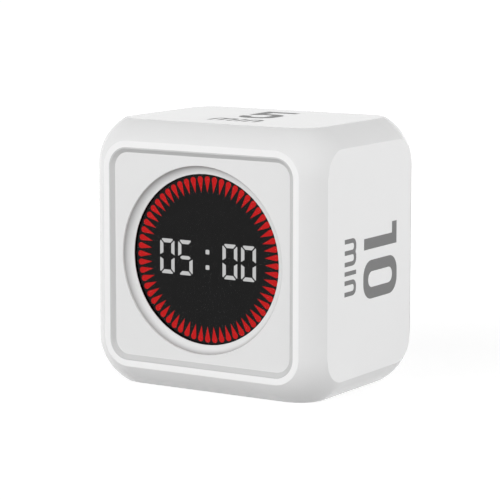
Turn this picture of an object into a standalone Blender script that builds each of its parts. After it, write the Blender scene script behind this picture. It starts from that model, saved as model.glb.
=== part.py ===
"""Cube timer: a white moulded housing with a round lit display, turned onto a side to start a countdown.

The front faces -Y and the top +Z. Depths run from the front plane towards the back. Every piece is placed
from the empty `body_centre`, which stands at the middle of the housing, and lengths are in metres.
"""

import math

import bmesh
import bpy

# Body
BODY_WIDTH = 0.060
BODY_DEPTH = 0.0465
EDGE_SHARE = 0.20583
FACE_CUT = 0.00165
WALL = 0.0022
SEAM_SETBACK = 0.0048
TONGUE_THICKNESS = 0.0012
TONGUE_LENGTH = 0.0026

# Fits and cuts
CLEARANCE = 0.0003
OVERRUN = 0.002

# Square step in the front and rear faces
RIM_WIDTH = 0.00147
STEP_SLOPE_RUN = 0.0011
STEP_DEPTH = 0.0007
STEP_CORNER = 0.0046

# Round display recess: radii in shares of the step's width
RECESS_SHARE = 0.4375
DISPLAY_SHARE = 0.3959
COVE_DEPTH = 0.00175
COVE_LAND = 0.0002

# Display stack
WINDOW_OVERLAP = 0.0015
WINDOW_THICKNESS = 0.0008
MASK_THICKNESS = 0.002
DIFFUSER_BASE = 0.0006
DISPLAY_BOARD_THICKNESS = 0.0012
LAMP_ROOM = 0.0005
STACK_RING_WALL = 0.0014

# Drop-shaped cells, in shares of the display's radius
DROP_OUTER_SHARE = 0.971
DROP_TIP_SHARE = 0.7763
DROP_BULB_SHARE = 0.0421

# Seven-segment digits, in shares of the display's radius
DIGIT_WIDTH_SHARE = 0.219
DIGIT_HEIGHT_SHARE = 0.4263
DIGIT_PITCH_SHARE = 0.2563
DIGIT_PAIR_SHARE = 0.4332
SEGMENT_THICKNESS_SHARE = 0.0568
SEGMENT_GAP_SHARE = 0.0063
COLON_SIDE_SHARE = 0.0705
COLON_CORNER_SHARE = 0.0158
COLON_OFFSET_SHARE = 0.0905

# Posts for the cover screws
POST_RADIUS_SHARE = 0.0467
POST_GAP = 0.0006
POST_HOLE_DEPTH = 0.008
RIB_THICKNESS = 0.0012
RIB_BITE = 0.0006

# Display bosses
DISPLAY_BOSS_SHARE = 0.0333
DISPLAY_BOSS_HOLE_DEPTH = 0.0035
DISPLAY_BOARD_EDGE_SHARE = 0.03

# Screws
COVER_SCREW_HEAD_RADIUS = 0.0019
COVER_SCREW_HEAD_HEIGHT = 0.0013
COVER_SCREW_SHANK_RADIUS = 0.001
COVER_SCREW_LENGTH = 0.008
COVER_SCREW_SINK = 0.0015
SMALL_SCREW_HEAD_RADIUS = 0.0014
SMALL_SCREW_HEAD_HEIGHT = 0.001
SMALL_SCREW_SHANK_RADIUS = 0.0007
SMALL_SCREW_LENGTH = 0.0035

# Main board, with its rows of bosses in shares of the body's width
MAIN_BOARD_SIDE_GAP = 0.008
MAIN_BOARD_POST_GAP = 0.0011
MAIN_BOARD_THICKNESS = 0.0016
MAIN_BOARD_CORNER = 0.002
MAIN_BOARD_SETBACK = 0.0111
BOARD_BOSS_EDGE = 0.0025
UPPER_ROW_SHARE = 0.1917
LOWER_ROW_SHARE = -0.1167
BOARD_BOSS_RADIUS = 0.0021
BOARD_BOSS_HOLE_DEPTH = 0.004

# Buttons
BUTTON_RADIUS = 0.0035
BUTTON_SPACING_SHARE = 0.1917
BUTTON_Z = 0.0005
BUTTON_STAND = 0.0004
BUTTON_EDGE = 0.0003
BUTTON_FLANGE = 0.0009
BUTTON_FLANGE_THICKNESS = 0.001
BUTTON_STEM_RADIUS = 0.0015
BUTTON_TRAVEL = 0.0005

# Push switches behind the buttons
TACT_WIDTH = 0.006
TACT_HEIGHT = 0.0034
TACT_CORNER = 0.0004
TACT_BORE_DEPTH = 0.0022
PLUNGER_RADIUS = 0.0016
PLUNGER_STAND = 0.0013

# Places of the slide switch and the socket on the rear, in shares of the body's width
LOWER_CONTROL_X_SHARE = 0.175
LOWER_CONTROL_Z_SHARE = -0.225

# Slide switch
SLIDE_TRAVEL = 0.004
KNOB_WIDTH = 0.0034
KNOB_HEIGHT = 0.0022
KNOB_CORNER = 0.0006
KNOB_STAND = 0.0005
KNOB_GRIP_DEPTH = 0.0003
KNOB_GRIP_WIDTH = 0.0003
KNOB_GRIP_PITCH = 0.0008
SLIDER_PLATE_COVER = 0.0007
SLIDER_PLATE_THICKNESS = 0.0008
SLIDE_STEM_WIDTH = 0.0022
SLIDE_BODY_WIDTH = 0.0088
SLIDE_BODY_DEPTH = 0.0036
SLIDE_BODY_HEIGHT = 0.0034
SLIDE_BODY_CORNER = 0.0003
SLIDE_TRACK_DEPTH = 0.0018
ACTUATOR_WIDTH = 0.0015
ACTUATOR_HEIGHT = 0.0013
ACTUATOR_STAND = 0.0014

# USB-C socket
USB_WIDTH = 0.00894
USB_HEIGHT = 0.00316
USB_SHELL = 0.0003
USB_FLOOR = 0.0012
USB_TONGUE_WIDTH = 0.0067
USB_TONGUE_THICKNESS = 0.0007
USB_TONGUE_SHY = 0.0009
USB_MOUTH_SHY = 0.0003

# Buzzer
BUZZER_RADIUS = 0.006
BUZZER_HEIGHT = 0.0036
BUZZER_PORT_RADIUS = 0.001
BUZZER_PORT_DEPTH = 0.0008
GASKET_WIDTH = 0.0013
GASKET_THICKNESS = 0.0008
BUZZER_RING_WALL = 0.0011
BUZZER_RING_LENGTH = 0.0026
GRILLE_HOLE_RADIUS = 0.00055
GRILLE_PITCH = 0.0018

# Battery
BATTERY_SIDE_ROOM = 0.005
BATTERY_END_ROOM = 0.0039
BATTERY_THICKNESS = 0.0068
BATTERY_CORNER = 0.002
BATTERY_PAD_THICKNESS = 0.0008
BATTERY_PAD_MARGIN = 0.004
BATTERY_SOCKET_WIDTH = 0.003
BATTERY_SOCKET_HEIGHT = 0.006
BATTERY_SOCKET_DEPTH = 0.003
LEAD_RADIUS = 0.0005
LEAD_SPACING = 0.002
LEAD_BEND = 0.0012

# Ribbon cable and its two sockets
RIBBON_X_SHARE = -0.1333
RIBBON_WIDTH = 0.008
RIBBON_THICKNESS = 0.0003
RIBBON_BEND = 0.0015
RIBBON_FLOOR_GAP = 0.0016
RIBBON_SOCKET_SIDE = 0.001
RIBBON_SOCKET_HEIGHT = 0.0026
RIBBON_SOCKET_DEPTH = 0.0018
DISPLAY_SOCKET_Z_SHARE = -0.2833
MAIN_SOCKET_EDGE = 0.0004

# Chips
CHIP_CORNER = 0.0002
DRIVER_SIDE = 0.007
DRIVER_THICKNESS = 0.001
CONTROLLER_SIDE = 0.007
CONTROLLER_THICKNESS = 0.001
SENSOR_SIDE = 0.003
SENSOR_THICKNESS = 0.0009
CHARGER_SIDE = 0.004
CHARGER_THICKNESS = 0.0009
SMALL_CHIP_X_SHARE = 0.15

# Fineness of the round shapes
EDGE_STEPS = 4
INNER_EDGE_STEPS = 2
RECESS_STEPS = 56
COVE_STEPS = 5
RING_STEPS = 32
BUTTON_STEPS = 16
POST_STEPS = 10
SCREW_STEPS = 8
HOLE_STEPS = 8
CORNER_STEPS = 4
BULB_STEPS = 5
PIP_STEPS = 3
LEAD_STEPS = 6
DROP_COUNT = 60
SHARP_ANGLE = math.radians(32)

# Sizes and places that follow from the ones above
FRONT = -BODY_DEPTH / 2
BACK = BODY_DEPTH / 2
EDGE_RADIUS = EDGE_SHARE * BODY_WIDTH
CORE_SIDE = BODY_WIDTH / 2 + FACE_CUT - EDGE_RADIUS
CORE_DEPTH = BODY_DEPTH / 2 + FACE_CUT - EDGE_RADIUS
SEAM = BACK - SEAM_SETBACK
FRONT_WALL = STEP_DEPTH + COVE_DEPTH + COVE_LAND
FRONT_INNER = FRONT + FRONT_WALL
REAR_PANEL = BACK - STEP_DEPTH
REAR_INNER = BACK - FRONT_WALL
TONGUE_END = SEAM - TONGUE_LENGTH

FLAT_HALF = CORE_SIDE + math.sqrt(EDGE_RADIUS**2 - (EDGE_RADIUS - FACE_CUT) ** 2)
STEP_MOUTH = 2 * (FLAT_HALF - RIM_WIDTH)
RECESS_RADIUS = RECESS_SHARE * STEP_MOUTH
DISPLAY_RADIUS = DISPLAY_SHARE * STEP_MOUTH

DROP_OUTER_RADIUS = DROP_OUTER_SHARE * DISPLAY_RADIUS
DROP_TIP_RADIUS = DROP_TIP_SHARE * DISPLAY_RADIUS
DROP_BULB_RADIUS = DROP_BULB_SHARE * DISPLAY_RADIUS
DIGIT_WIDTH = DIGIT_WIDTH_SHARE * DISPLAY_RADIUS
DIGIT_HEIGHT = DIGIT_HEIGHT_SHARE * DISPLAY_RADIUS
DIGIT_PITCH = DIGIT_PITCH_SHARE * DISPLAY_RADIUS
DIGIT_PAIR_OFFSET = DIGIT_PAIR_SHARE * DISPLAY_RADIUS
SEGMENT_THICKNESS = SEGMENT_THICKNESS_SHARE * DISPLAY_RADIUS
SEGMENT_GAP = SEGMENT_GAP_SHARE * DISPLAY_RADIUS
COLON_SIDE = COLON_SIDE_SHARE * DISPLAY_RADIUS
COLON_CORNER = COLON_CORNER_SHARE * DISPLAY_RADIUS
COLON_OFFSET = COLON_OFFSET_SHARE * DISPLAY_RADIUS

STACK_RADIUS = DISPLAY_RADIUS + WINDOW_OVERLAP
WINDOW_FRONT = FRONT_INNER + CLEARANCE
MASK_FRONT = WINDOW_FRONT + WINDOW_THICKNESS + CLEARANCE
DIFFUSER_FRONT = MASK_FRONT + MASK_THICKNESS + CLEARANCE
DISPLAY_BOARD_FRONT = DIFFUSER_FRONT + DIFFUSER_BASE + CLEARANCE + LAMP_ROOM
DISPLAY_BOARD_BACK = DISPLAY_BOARD_FRONT + DISPLAY_BOARD_THICKNESS
DISPLAY_BOSS_RADIUS = DISPLAY_BOSS_SHARE * BODY_WIDTH
DISPLAY_BOSS_OFFSET = STACK_RADIUS + CLEARANCE + STACK_RING_WALL / 2 + DISPLAY_BOSS_RADIUS
DISPLAY_BOARD_RADIUS = DISPLAY_BOSS_OFFSET + DISPLAY_BOARD_EDGE_SHARE * BODY_WIDTH
DISPLAY_BOSS_END = DISPLAY_BOARD_FRONT - CLEARANCE

POST_RADIUS = POST_RADIUS_SHARE * BODY_WIDTH
POST_OFFSET = (DISPLAY_BOARD_RADIUS + POST_GAP + POST_RADIUS) / math.sqrt(2)
MAIN_BOARD_WIDTH = BODY_WIDTH - 2 * MAIN_BOARD_SIDE_GAP
MAIN_BOARD_HEIGHT = 2 * (POST_OFFSET - POST_RADIUS - MAIN_BOARD_POST_GAP)
UPPER_ROW_Z = UPPER_ROW_SHARE * BODY_WIDTH
LOWER_ROW_Z = LOWER_ROW_SHARE * BODY_WIDTH
BATTERY_WIDTH = MAIN_BOARD_WIDTH - 2 * BATTERY_SIDE_ROOM
BATTERY_HEIGHT = MAIN_BOARD_HEIGHT - 2 * BATTERY_END_ROOM
BUTTON_SPACING = BUTTON_SPACING_SHARE * BODY_WIDTH
BUZZER_RING_RADIUS = BUZZER_RADIUS + CLEARANCE + BUZZER_RING_WALL
BUZZER_Z = BUTTON_Z + BUTTON_RADIUS + BUTTON_FLANGE + CLEARANCE + BUZZER_RING_RADIUS
LOWER_CONTROL_X = LOWER_CONTROL_X_SHARE * BODY_WIDTH
LOWER_CONTROL_Z = LOWER_CONTROL_Z_SHARE * BODY_WIDTH
RIBBON_X = RIBBON_X_SHARE * BODY_WIDTH
DISPLAY_SOCKET_Z = DISPLAY_SOCKET_Z_SHARE * BODY_WIDTH
SMALL_CHIP_X = SMALL_CHIP_X_SHARE * BODY_WIDTH

MAIN_BOARD_BACK = BACK - MAIN_BOARD_SETBACK
MAIN_BOARD_FRONT = MAIN_BOARD_BACK - MAIN_BOARD_THICKNESS
BOARD_BOSS_END = MAIN_BOARD_BACK + CLEARANCE
BATTERY_BACK = MAIN_BOARD_FRONT - BATTERY_PAD_THICKNESS - 2 * CLEARANCE
BATTERY_FRONT = BATTERY_BACK - BATTERY_THICKNESS
SWITCH_FOOT = MAIN_BOARD_BACK + CLEARANCE
POST_END = SEAM - CLEARANCE
SCREW_SEAT = REAR_PANEL - COVER_SCREW_SINK


# Outlines in X and Z, run round once


def circle(radius, steps, x=0.0, z=0.0):
    turns = [2 * math.pi * (i + 0.5) / steps for i in range(steps)]
    return [(x + radius * math.cos(t), z + radius * math.sin(t)) for t in turns]


def arc(x, z, radius, start, end, steps):
    turns = [start + (end - start) * i / steps for i in range(steps + 1)]
    return [(x + radius * math.cos(t), z + radius * math.sin(t)) for t in turns]


def rectangle(width, height, x=0.0, z=0.0):
    across = width / 2
    up = height / 2
    return [(x + across, z + up), (x - across, z + up), (x - across, z - up), (x + across, z - up)]


def rounded_rectangle(width, height, corner, x=0.0, z=0.0, steps=CORNER_STEPS):
    across = width / 2 - corner
    up = height / 2 - corner
    quarter = math.pi / 2
    outline = []
    for turn, (sx, sz) in enumerate(((1, 1), (-1, 1), (-1, -1), (1, -1))):
        outline += arc(x + sx * across, z + sz * up, corner, turn * quarter, (turn + 1) * quarter, steps)
    return outline


def oval(width, height, x=0.0, z=0.0):
    """A slot shape with half-round ends, longer across than it is high."""
    radius = height / 2
    across = width / 2 - radius
    quarter = math.pi / 2
    right = arc(x + across, z, radius, -quarter, quarter, 2 * CORNER_STEPS)
    return right + arc(x - across, z, radius, quarter, 3 * quarter, 2 * CORNER_STEPS)


def inset(outline, distance):
    """Draw in a convex outline, run anticlockwise, by the same distance on every side."""
    drawn = []
    for i, (x, z) in enumerate(outline):
        x0, z0 = outline[i - 1]
        x1, z1 = outline[(i + 1) % len(outline)]
        before = math.atan2(z - z0, x - x0)
        after = math.atan2(z1 - z, x1 - x)
        half = ((after - before + math.pi) % (2 * math.pi) - math.pi) / 2
        inward = before + half + math.pi / 2
        reach = distance / math.cos(half)
        drawn.append((x + reach * math.cos(inward), z + reach * math.sin(inward)))
    return drawn


def turned_outline(outline, angle, x=0.0, z=0.0):
    c = math.cos(angle)
    s = math.sin(angle)
    return [(x + c * px - s * pz, z + s * px + c * pz) for px, pz in outline]


# Solids run along Y


def loft(bm, sections):
    """Join outlines of equal point counts, each given as (outline, y), and close both ends."""
    rings = [[bm.verts.new((x, y, z)) for x, z in outline] for outline, y in sections]
    for low, high in zip(rings, rings[1:]):
        for i in range(len(low)):
            bm.faces.new((low[i - 1], low[i], high[i], high[i - 1]))
    bm.faces.new(rings[0])
    bm.faces.new(rings[-1])


def prism(bm, outline, start, end):
    loft(bm, [(outline, start), (outline, end)])


def turned(bm, profile, steps, x=0.0, z=0.0):
    """Turn (radius, y) points about the Y line through x, z, with flat ends."""
    loft(bm, [(circle(radius, steps, x, z), y) for radius, y in profile])


def pierced_plate(bm, outlines, start, end):
    """Extrude the area inside the first outline and outside the others."""
    edges = []
    for outline in outlines:
        verts = [bm.verts.new((x, start, z)) for x, z in outline]
        edges += [bm.edges.new((verts[i - 1], verts[i])) for i in range(len(verts))]
    filled = bmesh.ops.triangle_fill(bm, use_beauty=True, edges=edges, normal=(0, -1, 0))
    faces = [item for item in filled["geom"] if isinstance(item, bmesh.types.BMFace)]
    grown = bmesh.ops.extrude_face_region(bm, geom=faces)
    moved = [item for item in grown["geom"] if isinstance(item, bmesh.types.BMVert)]
    bmesh.ops.translate(bm, verts=moved, vec=(0, end - start, 0))


def body_section(draw_in, turn, steps):
    """The body's outline where its edge radius has turned this far from the front or rear face's normal.

    Each corner is an arc about the core's corner, cut short where it reaches the flat side faces.
    """
    swing = (EDGE_RADIUS - draw_in) * math.sin(turn)
    flat = BODY_WIDTH / 2 - draw_in - CORE_SIDE
    first = math.acos(min(1.0, flat / swing))
    outline = []
    for quarter, (sx, sz) in enumerate(((1, 1), (-1, 1), (-1, -1), (1, -1))):
        start = quarter * math.pi / 2 + first
        end = (quarter + 1) * math.pi / 2 - first
        outline += arc(sx * CORE_SIDE, sz * CORE_SIDE, swing, start, end, steps)
    return outline


def block_turn(radius, core_front, core_back, y):
    """How far the edge radius has turned at this depth: a quarter turn along the straight sides."""
    past_core = max(core_front - y, y - core_back, 0.0)
    return math.acos(past_core / radius)


def edge_turns(draw_in, steps):
    """The turns that get a section of their own, with one where the sides go flat."""
    radius = EDGE_RADIUS - draw_in
    planed = math.acos((BODY_DEPTH / 2 - CORE_DEPTH - draw_in) / radius)
    goes_flat = math.asin((BODY_WIDTH / 2 - CORE_SIDE - draw_in) / radius)
    turns = []
    for low, high in ((planed, goes_flat), (goes_flat, math.pi / 2)):
        turns += [low + (high - low) * (i + 1) / steps for i in range(steps)]
    return turns


def planed_block(bm, draw_in, core_front, core_back, front, back, steps=EDGE_STEPS):
    """The body's form drawn in by one wall: a box with one large edge radius, planed flat on its six sides.

    core_front and core_back are where the radius has its centre, front and back where the block is planed.
    """
    radius = EDGE_RADIUS - draw_in
    turns = edge_turns(draw_in, steps)
    depths = [core_front - radius * math.cos(t) for t in turns]
    depths += [core_back + radius * math.cos(t) for t in reversed(turns)]
    inside = [y for y in depths if front + CLEARANCE < y < back - CLEARANCE]
    sections = []
    for y in [front, *inside, back]:
        turn = block_turn(radius, core_front, core_back, y)
        sections.append((body_section(draw_in, turn, 2 * steps), y))
    loft(bm, sections)


# Objects and materials


def clear_scene():
    for obj in list(bpy.data.objects):
        bpy.data.objects.remove(obj, do_unlink=True)


def material(name, colour, roughness, metallic=0.0):
    found = bpy.data.materials.get(name)
    if found:
        return found
    made = bpy.data.materials.new(name)
    made.use_nodes = True
    shader = made.node_tree.nodes["Principled BSDF"]
    shader.inputs["Base Color"].default_value = (*colour, 1.0)
    shader.inputs["Roughness"].default_value = roughness
    shader.inputs["Metallic"].default_value = metallic
    return made


def white_plastic():
    return material("white_plastic", (0.86, 0.86, 0.86), 0.45)


def smoked_plastic():
    return material("smoked_plastic", (0.02, 0.02, 0.02), 0.08)


def black_plastic():
    return material("black_plastic", (0.015, 0.015, 0.015), 0.6)


def red_diffuser():
    return material("red_diffuser", (0.62, 0.02, 0.02), 0.5)


def milky_diffuser():
    return material("milky_diffuser", (0.75, 0.75, 0.75), 0.5)


def circuit_board():
    return material("circuit_board", (0.02, 0.14, 0.06), 0.5)


def steel():
    return material("steel", (0.6, 0.6, 0.62), 0.3, 1.0)


def chip_plastic():
    return material("chip_plastic", (0.03, 0.03, 0.035), 0.5)


def socket_plastic():
    return material("socket_plastic", (0.7, 0.66, 0.56), 0.5)


def grey_plastic():
    return material("grey_plastic", (0.32, 0.32, 0.33), 0.5)


def foam():
    return material("foam", (0.05, 0.05, 0.05), 0.95)


def pouch_foil():
    return material("pouch_foil", (0.55, 0.56, 0.58), 0.35, 0.8)


def ribbon_film():
    return material("ribbon_film", (0.8, 0.8, 0.76), 0.4)


def wire_cover(name, colour):
    return material(name, colour, 0.5)


def add_object(name, bm, look, location=(0, 0, 0)):
    bmesh.ops.recalc_face_normals(bm, faces=bm.faces)
    mesh = bpy.data.meshes.new(name)
    bm.to_mesh(mesh)
    bm.free()
    mesh.shade_smooth()
    mesh.set_sharp_from_angle(angle=SHARP_ANGLE)
    if look:
        mesh.materials.append(look)
    obj = bpy.data.objects.new(name, mesh)
    obj.location = location
    bpy.context.scene.collection.objects.link(obj)
    return obj


def combine(target, name, bm, operation):
    """Join a helper shape to a piece, or cut it away, with the helper placed where the piece is."""
    helper = add_object(name, bm, None, target.location)
    helper.hide_render = True
    helper.display_type = "WIRE"
    modifier = target.modifiers.new(name, "BOOLEAN")
    modifier.object = helper
    modifier.operation = operation
    modifier.solver = "EXACT"


def join(target, name, bm):
    combine(target, name, bm, "UNION")


def cut(target, name, bm):
    combine(target, name, bm, "DIFFERENCE")


def box_part(name, width, height, corner, depth, look, location):
    """A block with rounded corners, its low Y face on the location."""
    bm = bmesh.new()
    prism(bm, rounded_rectangle(width, height, corner, steps=2), 0, depth)
    return add_object(name, bm, look, location)


# Housing


def post_places():
    return [(sx * POST_OFFSET, sz * POST_OFFSET) for sx in (1, -1) for sz in (1, -1)]


def display_boss_places():
    turns = [i * math.pi / 2 for i in range(4)]
    return [(DISPLAY_BOSS_OFFSET * math.cos(t), DISPLAY_BOSS_OFFSET * math.sin(t)) for t in turns]


def cut_square_step(target, outside, inside):
    """Sink the sloped square step from the face plane at `outside` to the panel at `inside`."""
    beyond = outside + math.copysign(OVERRUN, outside - inside)
    mouth = rounded_rectangle(STEP_MOUTH, STEP_MOUTH, STEP_CORNER)
    floor_width = STEP_MOUTH - 2 * STEP_SLOPE_RUN
    floor = rounded_rectangle(floor_width, floor_width, STEP_CORNER - STEP_SLOPE_RUN)
    bm = bmesh.new()
    loft(bm, [(mouth, beyond), (mouth, outside), (floor, inside)])
    cut(target, target.name + "_step", bm)


def cut_display_recess(housing):
    """Cut the coved recess, steep at its outer edge and flat where it meets the display."""
    panel = FRONT + STEP_DEPTH
    run = RECESS_RADIUS - DISPLAY_RADIUS
    profile = [(RECESS_RADIUS, panel - OVERRUN)]
    for i in range(COVE_STEPS + 1):
        turn = math.pi / 2 * i / COVE_STEPS
        radius = RECESS_RADIUS - run * (1 - math.cos(turn))
        profile.append((radius, panel + COVE_DEPTH * math.sin(turn)))
    profile.append((DISPLAY_RADIUS, FRONT_INNER + OVERRUN))
    bm = bmesh.new()
    turned(bm, profile, RECESS_STEPS)
    cut(housing, "display_recess", bm)


def add_posts(housing):
    bm = bmesh.new()
    for x, z in post_places():
        prism(bm, circle(POST_RADIUS, POST_STEPS, x, z), FRONT_INNER - RIB_BITE, POST_END)
    join(housing, "cover_posts", bm)


def add_post_ribs(housing):
    """Tie each post to its corner of the wall, short of the cover's tongue."""
    corner = CORE_SIDE + (EDGE_RADIUS - WALL) / math.sqrt(2)
    reach = math.sqrt(2) * (corner - POST_OFFSET) + RIB_BITE
    half = RIB_THICKNESS / 2
    bar = [(0, -half), (reach, -half), (reach, half), (0, half)]
    bm = bmesh.new()
    for i, (sx, sz) in enumerate(((1, 1), (-1, 1), (-1, -1), (1, -1))):
        angle = math.pi / 4 + i * math.pi / 2
        outline = turned_outline(bar, angle, sx * POST_OFFSET, sz * POST_OFFSET)
        prism(bm, outline, -CORE_DEPTH, TONGUE_END - CLEARANCE)
    join(housing, "post_ribs", bm)


def add_display_ring(housing):
    """The collar that centres the display stack behind the front wall."""
    inner = STACK_RADIUS + CLEARANCE
    bm = bmesh.new()
    outlines = [circle(inner + STACK_RING_WALL, RING_STEPS), circle(inner, RING_STEPS)]
    pierced_plate(bm, outlines, FRONT_INNER - RIB_BITE, DISPLAY_BOSS_END)
    join(housing, "display_ring", bm)


def add_display_bosses(housing):
    bm = bmesh.new()
    for x, z in display_boss_places():
        outline = circle(DISPLAY_BOSS_RADIUS, SCREW_STEPS, x, z)
        prism(bm, outline, FRONT_INNER - RIB_BITE, DISPLAY_BOSS_END)
    join(housing, "display_bosses", bm)


def cut_housing_holes(housing):
    post_hole = COVER_SCREW_SHANK_RADIUS + CLEARANCE
    boss_hole = SMALL_SCREW_SHANK_RADIUS + CLEARANCE
    bm = bmesh.new()
    for x, z in post_places():
        prism(bm, circle(post_hole, HOLE_STEPS, x, z), POST_END - POST_HOLE_DEPTH, POST_END + OVERRUN)
    for x, z in display_boss_places():
        start = DISPLAY_BOSS_END - DISPLAY_BOSS_HOLE_DEPTH
        prism(bm, circle(boss_hole, HOLE_STEPS, x, z), start, DISPLAY_BOSS_END + OVERRUN)
    cut(housing, "housing_holes", bm)


def housing():
    bm = bmesh.new()
    planed_block(bm, 0, -CORE_DEPTH, CORE_DEPTH, FRONT, SEAM)
    obj = add_object("housing", bm, white_plastic())
    bm = bmesh.new()
    planed_block(bm, WALL, -CORE_DEPTH, BACK, FRONT_INNER, SEAM + OVERRUN, INNER_EDGE_STEPS)
    cut(obj, "housing_cavity", bm)
    add_posts(obj)
    add_post_ribs(obj)
    add_display_ring(obj)
    add_display_bosses(obj)
    cut_square_step(obj, FRONT, FRONT + STEP_DEPTH)
    cut_display_recess(obj)
    cut_housing_holes(obj)


# Rear cover


def board_boss_places():
    x = MAIN_BOARD_WIDTH / 2 - BOARD_BOSS_EDGE
    return [(sx * x, z) for sx in (1, -1) for z in (UPPER_ROW_Z, LOWER_ROW_Z)]


def button_places():
    return [-BUTTON_SPACING, 0.0, BUTTON_SPACING]


def grille_places():
    """A centre hole, a ring of six and a ring of twelve."""
    places = [(0.0, BUZZER_Z)]
    for ring in (1, 2):
        radius = ring * GRILLE_PITCH
        for i in range(6 * ring):
            turn = 2 * math.pi * i / (6 * ring)
            places.append((radius * math.cos(turn), BUZZER_Z + radius * math.sin(turn)))
    return places


def add_cover_bosses(cover):
    bm = bmesh.new()
    for x, z in post_places():
        prism(bm, circle(POST_RADIUS, POST_STEPS, x, z), POST_END + CLEARANCE, REAR_INNER + RIB_BITE)
    for x, z in board_boss_places():
        outline = circle(BOARD_BOSS_RADIUS, SCREW_STEPS, x, z)
        prism(bm, outline, BOARD_BOSS_END, REAR_INNER + RIB_BITE)
    join(cover, "cover_bosses", bm)


def add_buzzer_ring(cover):
    radii = (BUZZER_RING_RADIUS, BUZZER_RING_RADIUS - BUZZER_RING_WALL)
    outlines = [circle(radius, BUTTON_STEPS, 0, BUZZER_Z) for radius in radii]
    bm = bmesh.new()
    pierced_plate(bm, outlines, REAR_INNER - BUZZER_RING_LENGTH, REAR_INNER + RIB_BITE)
    join(cover, "buzzer_ring", bm)


def cut_screw_holes(cover):
    head = COVER_SCREW_HEAD_RADIUS + CLEARANCE
    shank = COVER_SCREW_SHANK_RADIUS + CLEARANCE
    bm = bmesh.new()
    for x, z in post_places():
        start = POST_END - OVERRUN
        profile = [(shank, start), (shank, SCREW_SEAT), (head, SCREW_SEAT), (head, REAR_PANEL + OVERRUN)]
        turned(bm, profile, SCREW_STEPS, x, z)
    boss_hole = SMALL_SCREW_SHANK_RADIUS + CLEARANCE
    for x, z in board_boss_places():
        end = BOARD_BOSS_END + BOARD_BOSS_HOLE_DEPTH
        prism(bm, circle(boss_hole, HOLE_STEPS, x, z), BOARD_BOSS_END - OVERRUN, end)
    cut(cover, "cover_screw_holes", bm)


def cut_control_holes(cover):
    """The button holes, the slide switch's slot, the socket's opening and the sound holes."""
    start = REAR_INNER - OVERRUN
    end = REAR_PANEL + OVERRUN
    slot_size = (KNOB_WIDTH + SLIDE_TRAVEL + 2 * CLEARANCE, KNOB_HEIGHT + 2 * CLEARANCE)
    usb_width = USB_WIDTH + 2 * CLEARANCE
    usb_height = USB_HEIGHT + 2 * CLEARANCE
    outlines = [circle(BUTTON_RADIUS + CLEARANCE, BUTTON_STEPS, x, BUTTON_Z) for x in button_places()]
    outlines.append(rounded_rectangle(*slot_size, KNOB_CORNER, -LOWER_CONTROL_X, LOWER_CONTROL_Z))
    outlines.append(oval(usb_width, usb_height, LOWER_CONTROL_X, LOWER_CONTROL_Z))
    outlines += [circle(GRILLE_HOLE_RADIUS, HOLE_STEPS, x, z) for x, z in grille_places()]
    bm = bmesh.new()
    for outline in outlines:
        prism(bm, outline, start, end)
    cut(cover, "control_holes", bm)


def rear_cover():
    bm = bmesh.new()
    planed_block(bm, 0, -CORE_DEPTH, CORE_DEPTH, SEAM + CLEARANCE, BACK)
    obj = add_object("rear_cover", bm, white_plastic())
    bm = bmesh.new()
    top = SEAM + CLEARANCE + RIB_BITE
    planed_block(bm, WALL + CLEARANCE, FRONT, BACK, TONGUE_END, top, INNER_EDGE_STEPS)
    join(obj, "cover_tongue", bm)
    bm = bmesh.new()
    inner = WALL + CLEARANCE + TONGUE_THICKNESS
    planed_block(bm, inner, FRONT, CORE_DEPTH, TONGUE_END - OVERRUN, REAR_INNER, INNER_EDGE_STEPS)
    cut(obj, "cover_cavity", bm)
    add_cover_bosses(obj)
    add_buzzer_ring(obj)
    cut_square_step(obj, BACK, REAR_PANEL)
    cut_screw_holes(obj)
    cut_control_holes(obj)


# Display


def drop_outlines(steps):
    """Sixty drops with the round end outside, one of them at twelve o'clock."""
    bulb = DROP_OUTER_RADIUS - DROP_BULB_RADIUS
    reach = bulb - DROP_TIP_RADIUS
    tangent = math.pi - math.acos(DROP_BULB_RADIUS / reach)
    drop = [(DROP_TIP_RADIUS, 0.0)] + arc(bulb, 0.0, DROP_BULB_RADIUS, -tangent, tangent, steps)
    turns = [math.pi / 2 + 2 * math.pi * i / DROP_COUNT for i in range(DROP_COUNT)]
    return [turned_outline(drop, t) for t in turns]


def segment_outlines():
    """The seven bars of one digit about its centre, run anticlockwise."""
    side = DIGIT_WIDTH / 2
    top = DIGIT_HEIGHT / 2
    bar = SEGMENT_THICKNESS
    nick = SEGMENT_GAP / math.sqrt(2)
    end = side - nick
    upper = [(end, top), (-end, top), (bar - end, top - bar), (end - bar, top - bar)]
    point = side - bar / 2 - nick
    middle = [
        (point, 0.0),
        (point - bar / 2, bar / 2),
        (-point + bar / 2, bar / 2),
        (-point, 0.0),
        (-point + bar / 2, -bar / 2),
        (point - bar / 2, -bar / 2),
    ]
    right = [
        (side, top - nick),
        (side - bar, top - nick - bar),
        (side - bar, bar / 2 + nick),
        (side - bar / 2, nick),
        (side, nick),
    ]
    half_turn = math.pi
    left = [(-x, z) for x, z in reversed(right)]
    return [
        upper,
        middle,
        turned_outline(upper, half_turn),
        right,
        left,
        turned_outline(right, half_turn),
        turned_outline(left, half_turn),
    ]


def digit_places():
    half = DIGIT_PITCH / 2
    return [pair * DIGIT_PAIR_OFFSET + step * half for pair in (-1, 1) for step in (-1, 1)]


def digit_outlines():
    outlines = [[(x + place, z) for x, z in bar] for place in digit_places() for bar in segment_outlines()]
    for z in (COLON_OFFSET, -COLON_OFFSET):
        outlines.append(rounded_rectangle(COLON_SIDE, COLON_SIDE, COLON_CORNER, 0, z, steps=1))
    return outlines


def diffuser_split_radius():
    """Where the red ring ends and the milky disc starts: just clear of the drops' tips."""
    return DROP_TIP_RADIUS - SEGMENT_THICKNESS / 2


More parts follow.
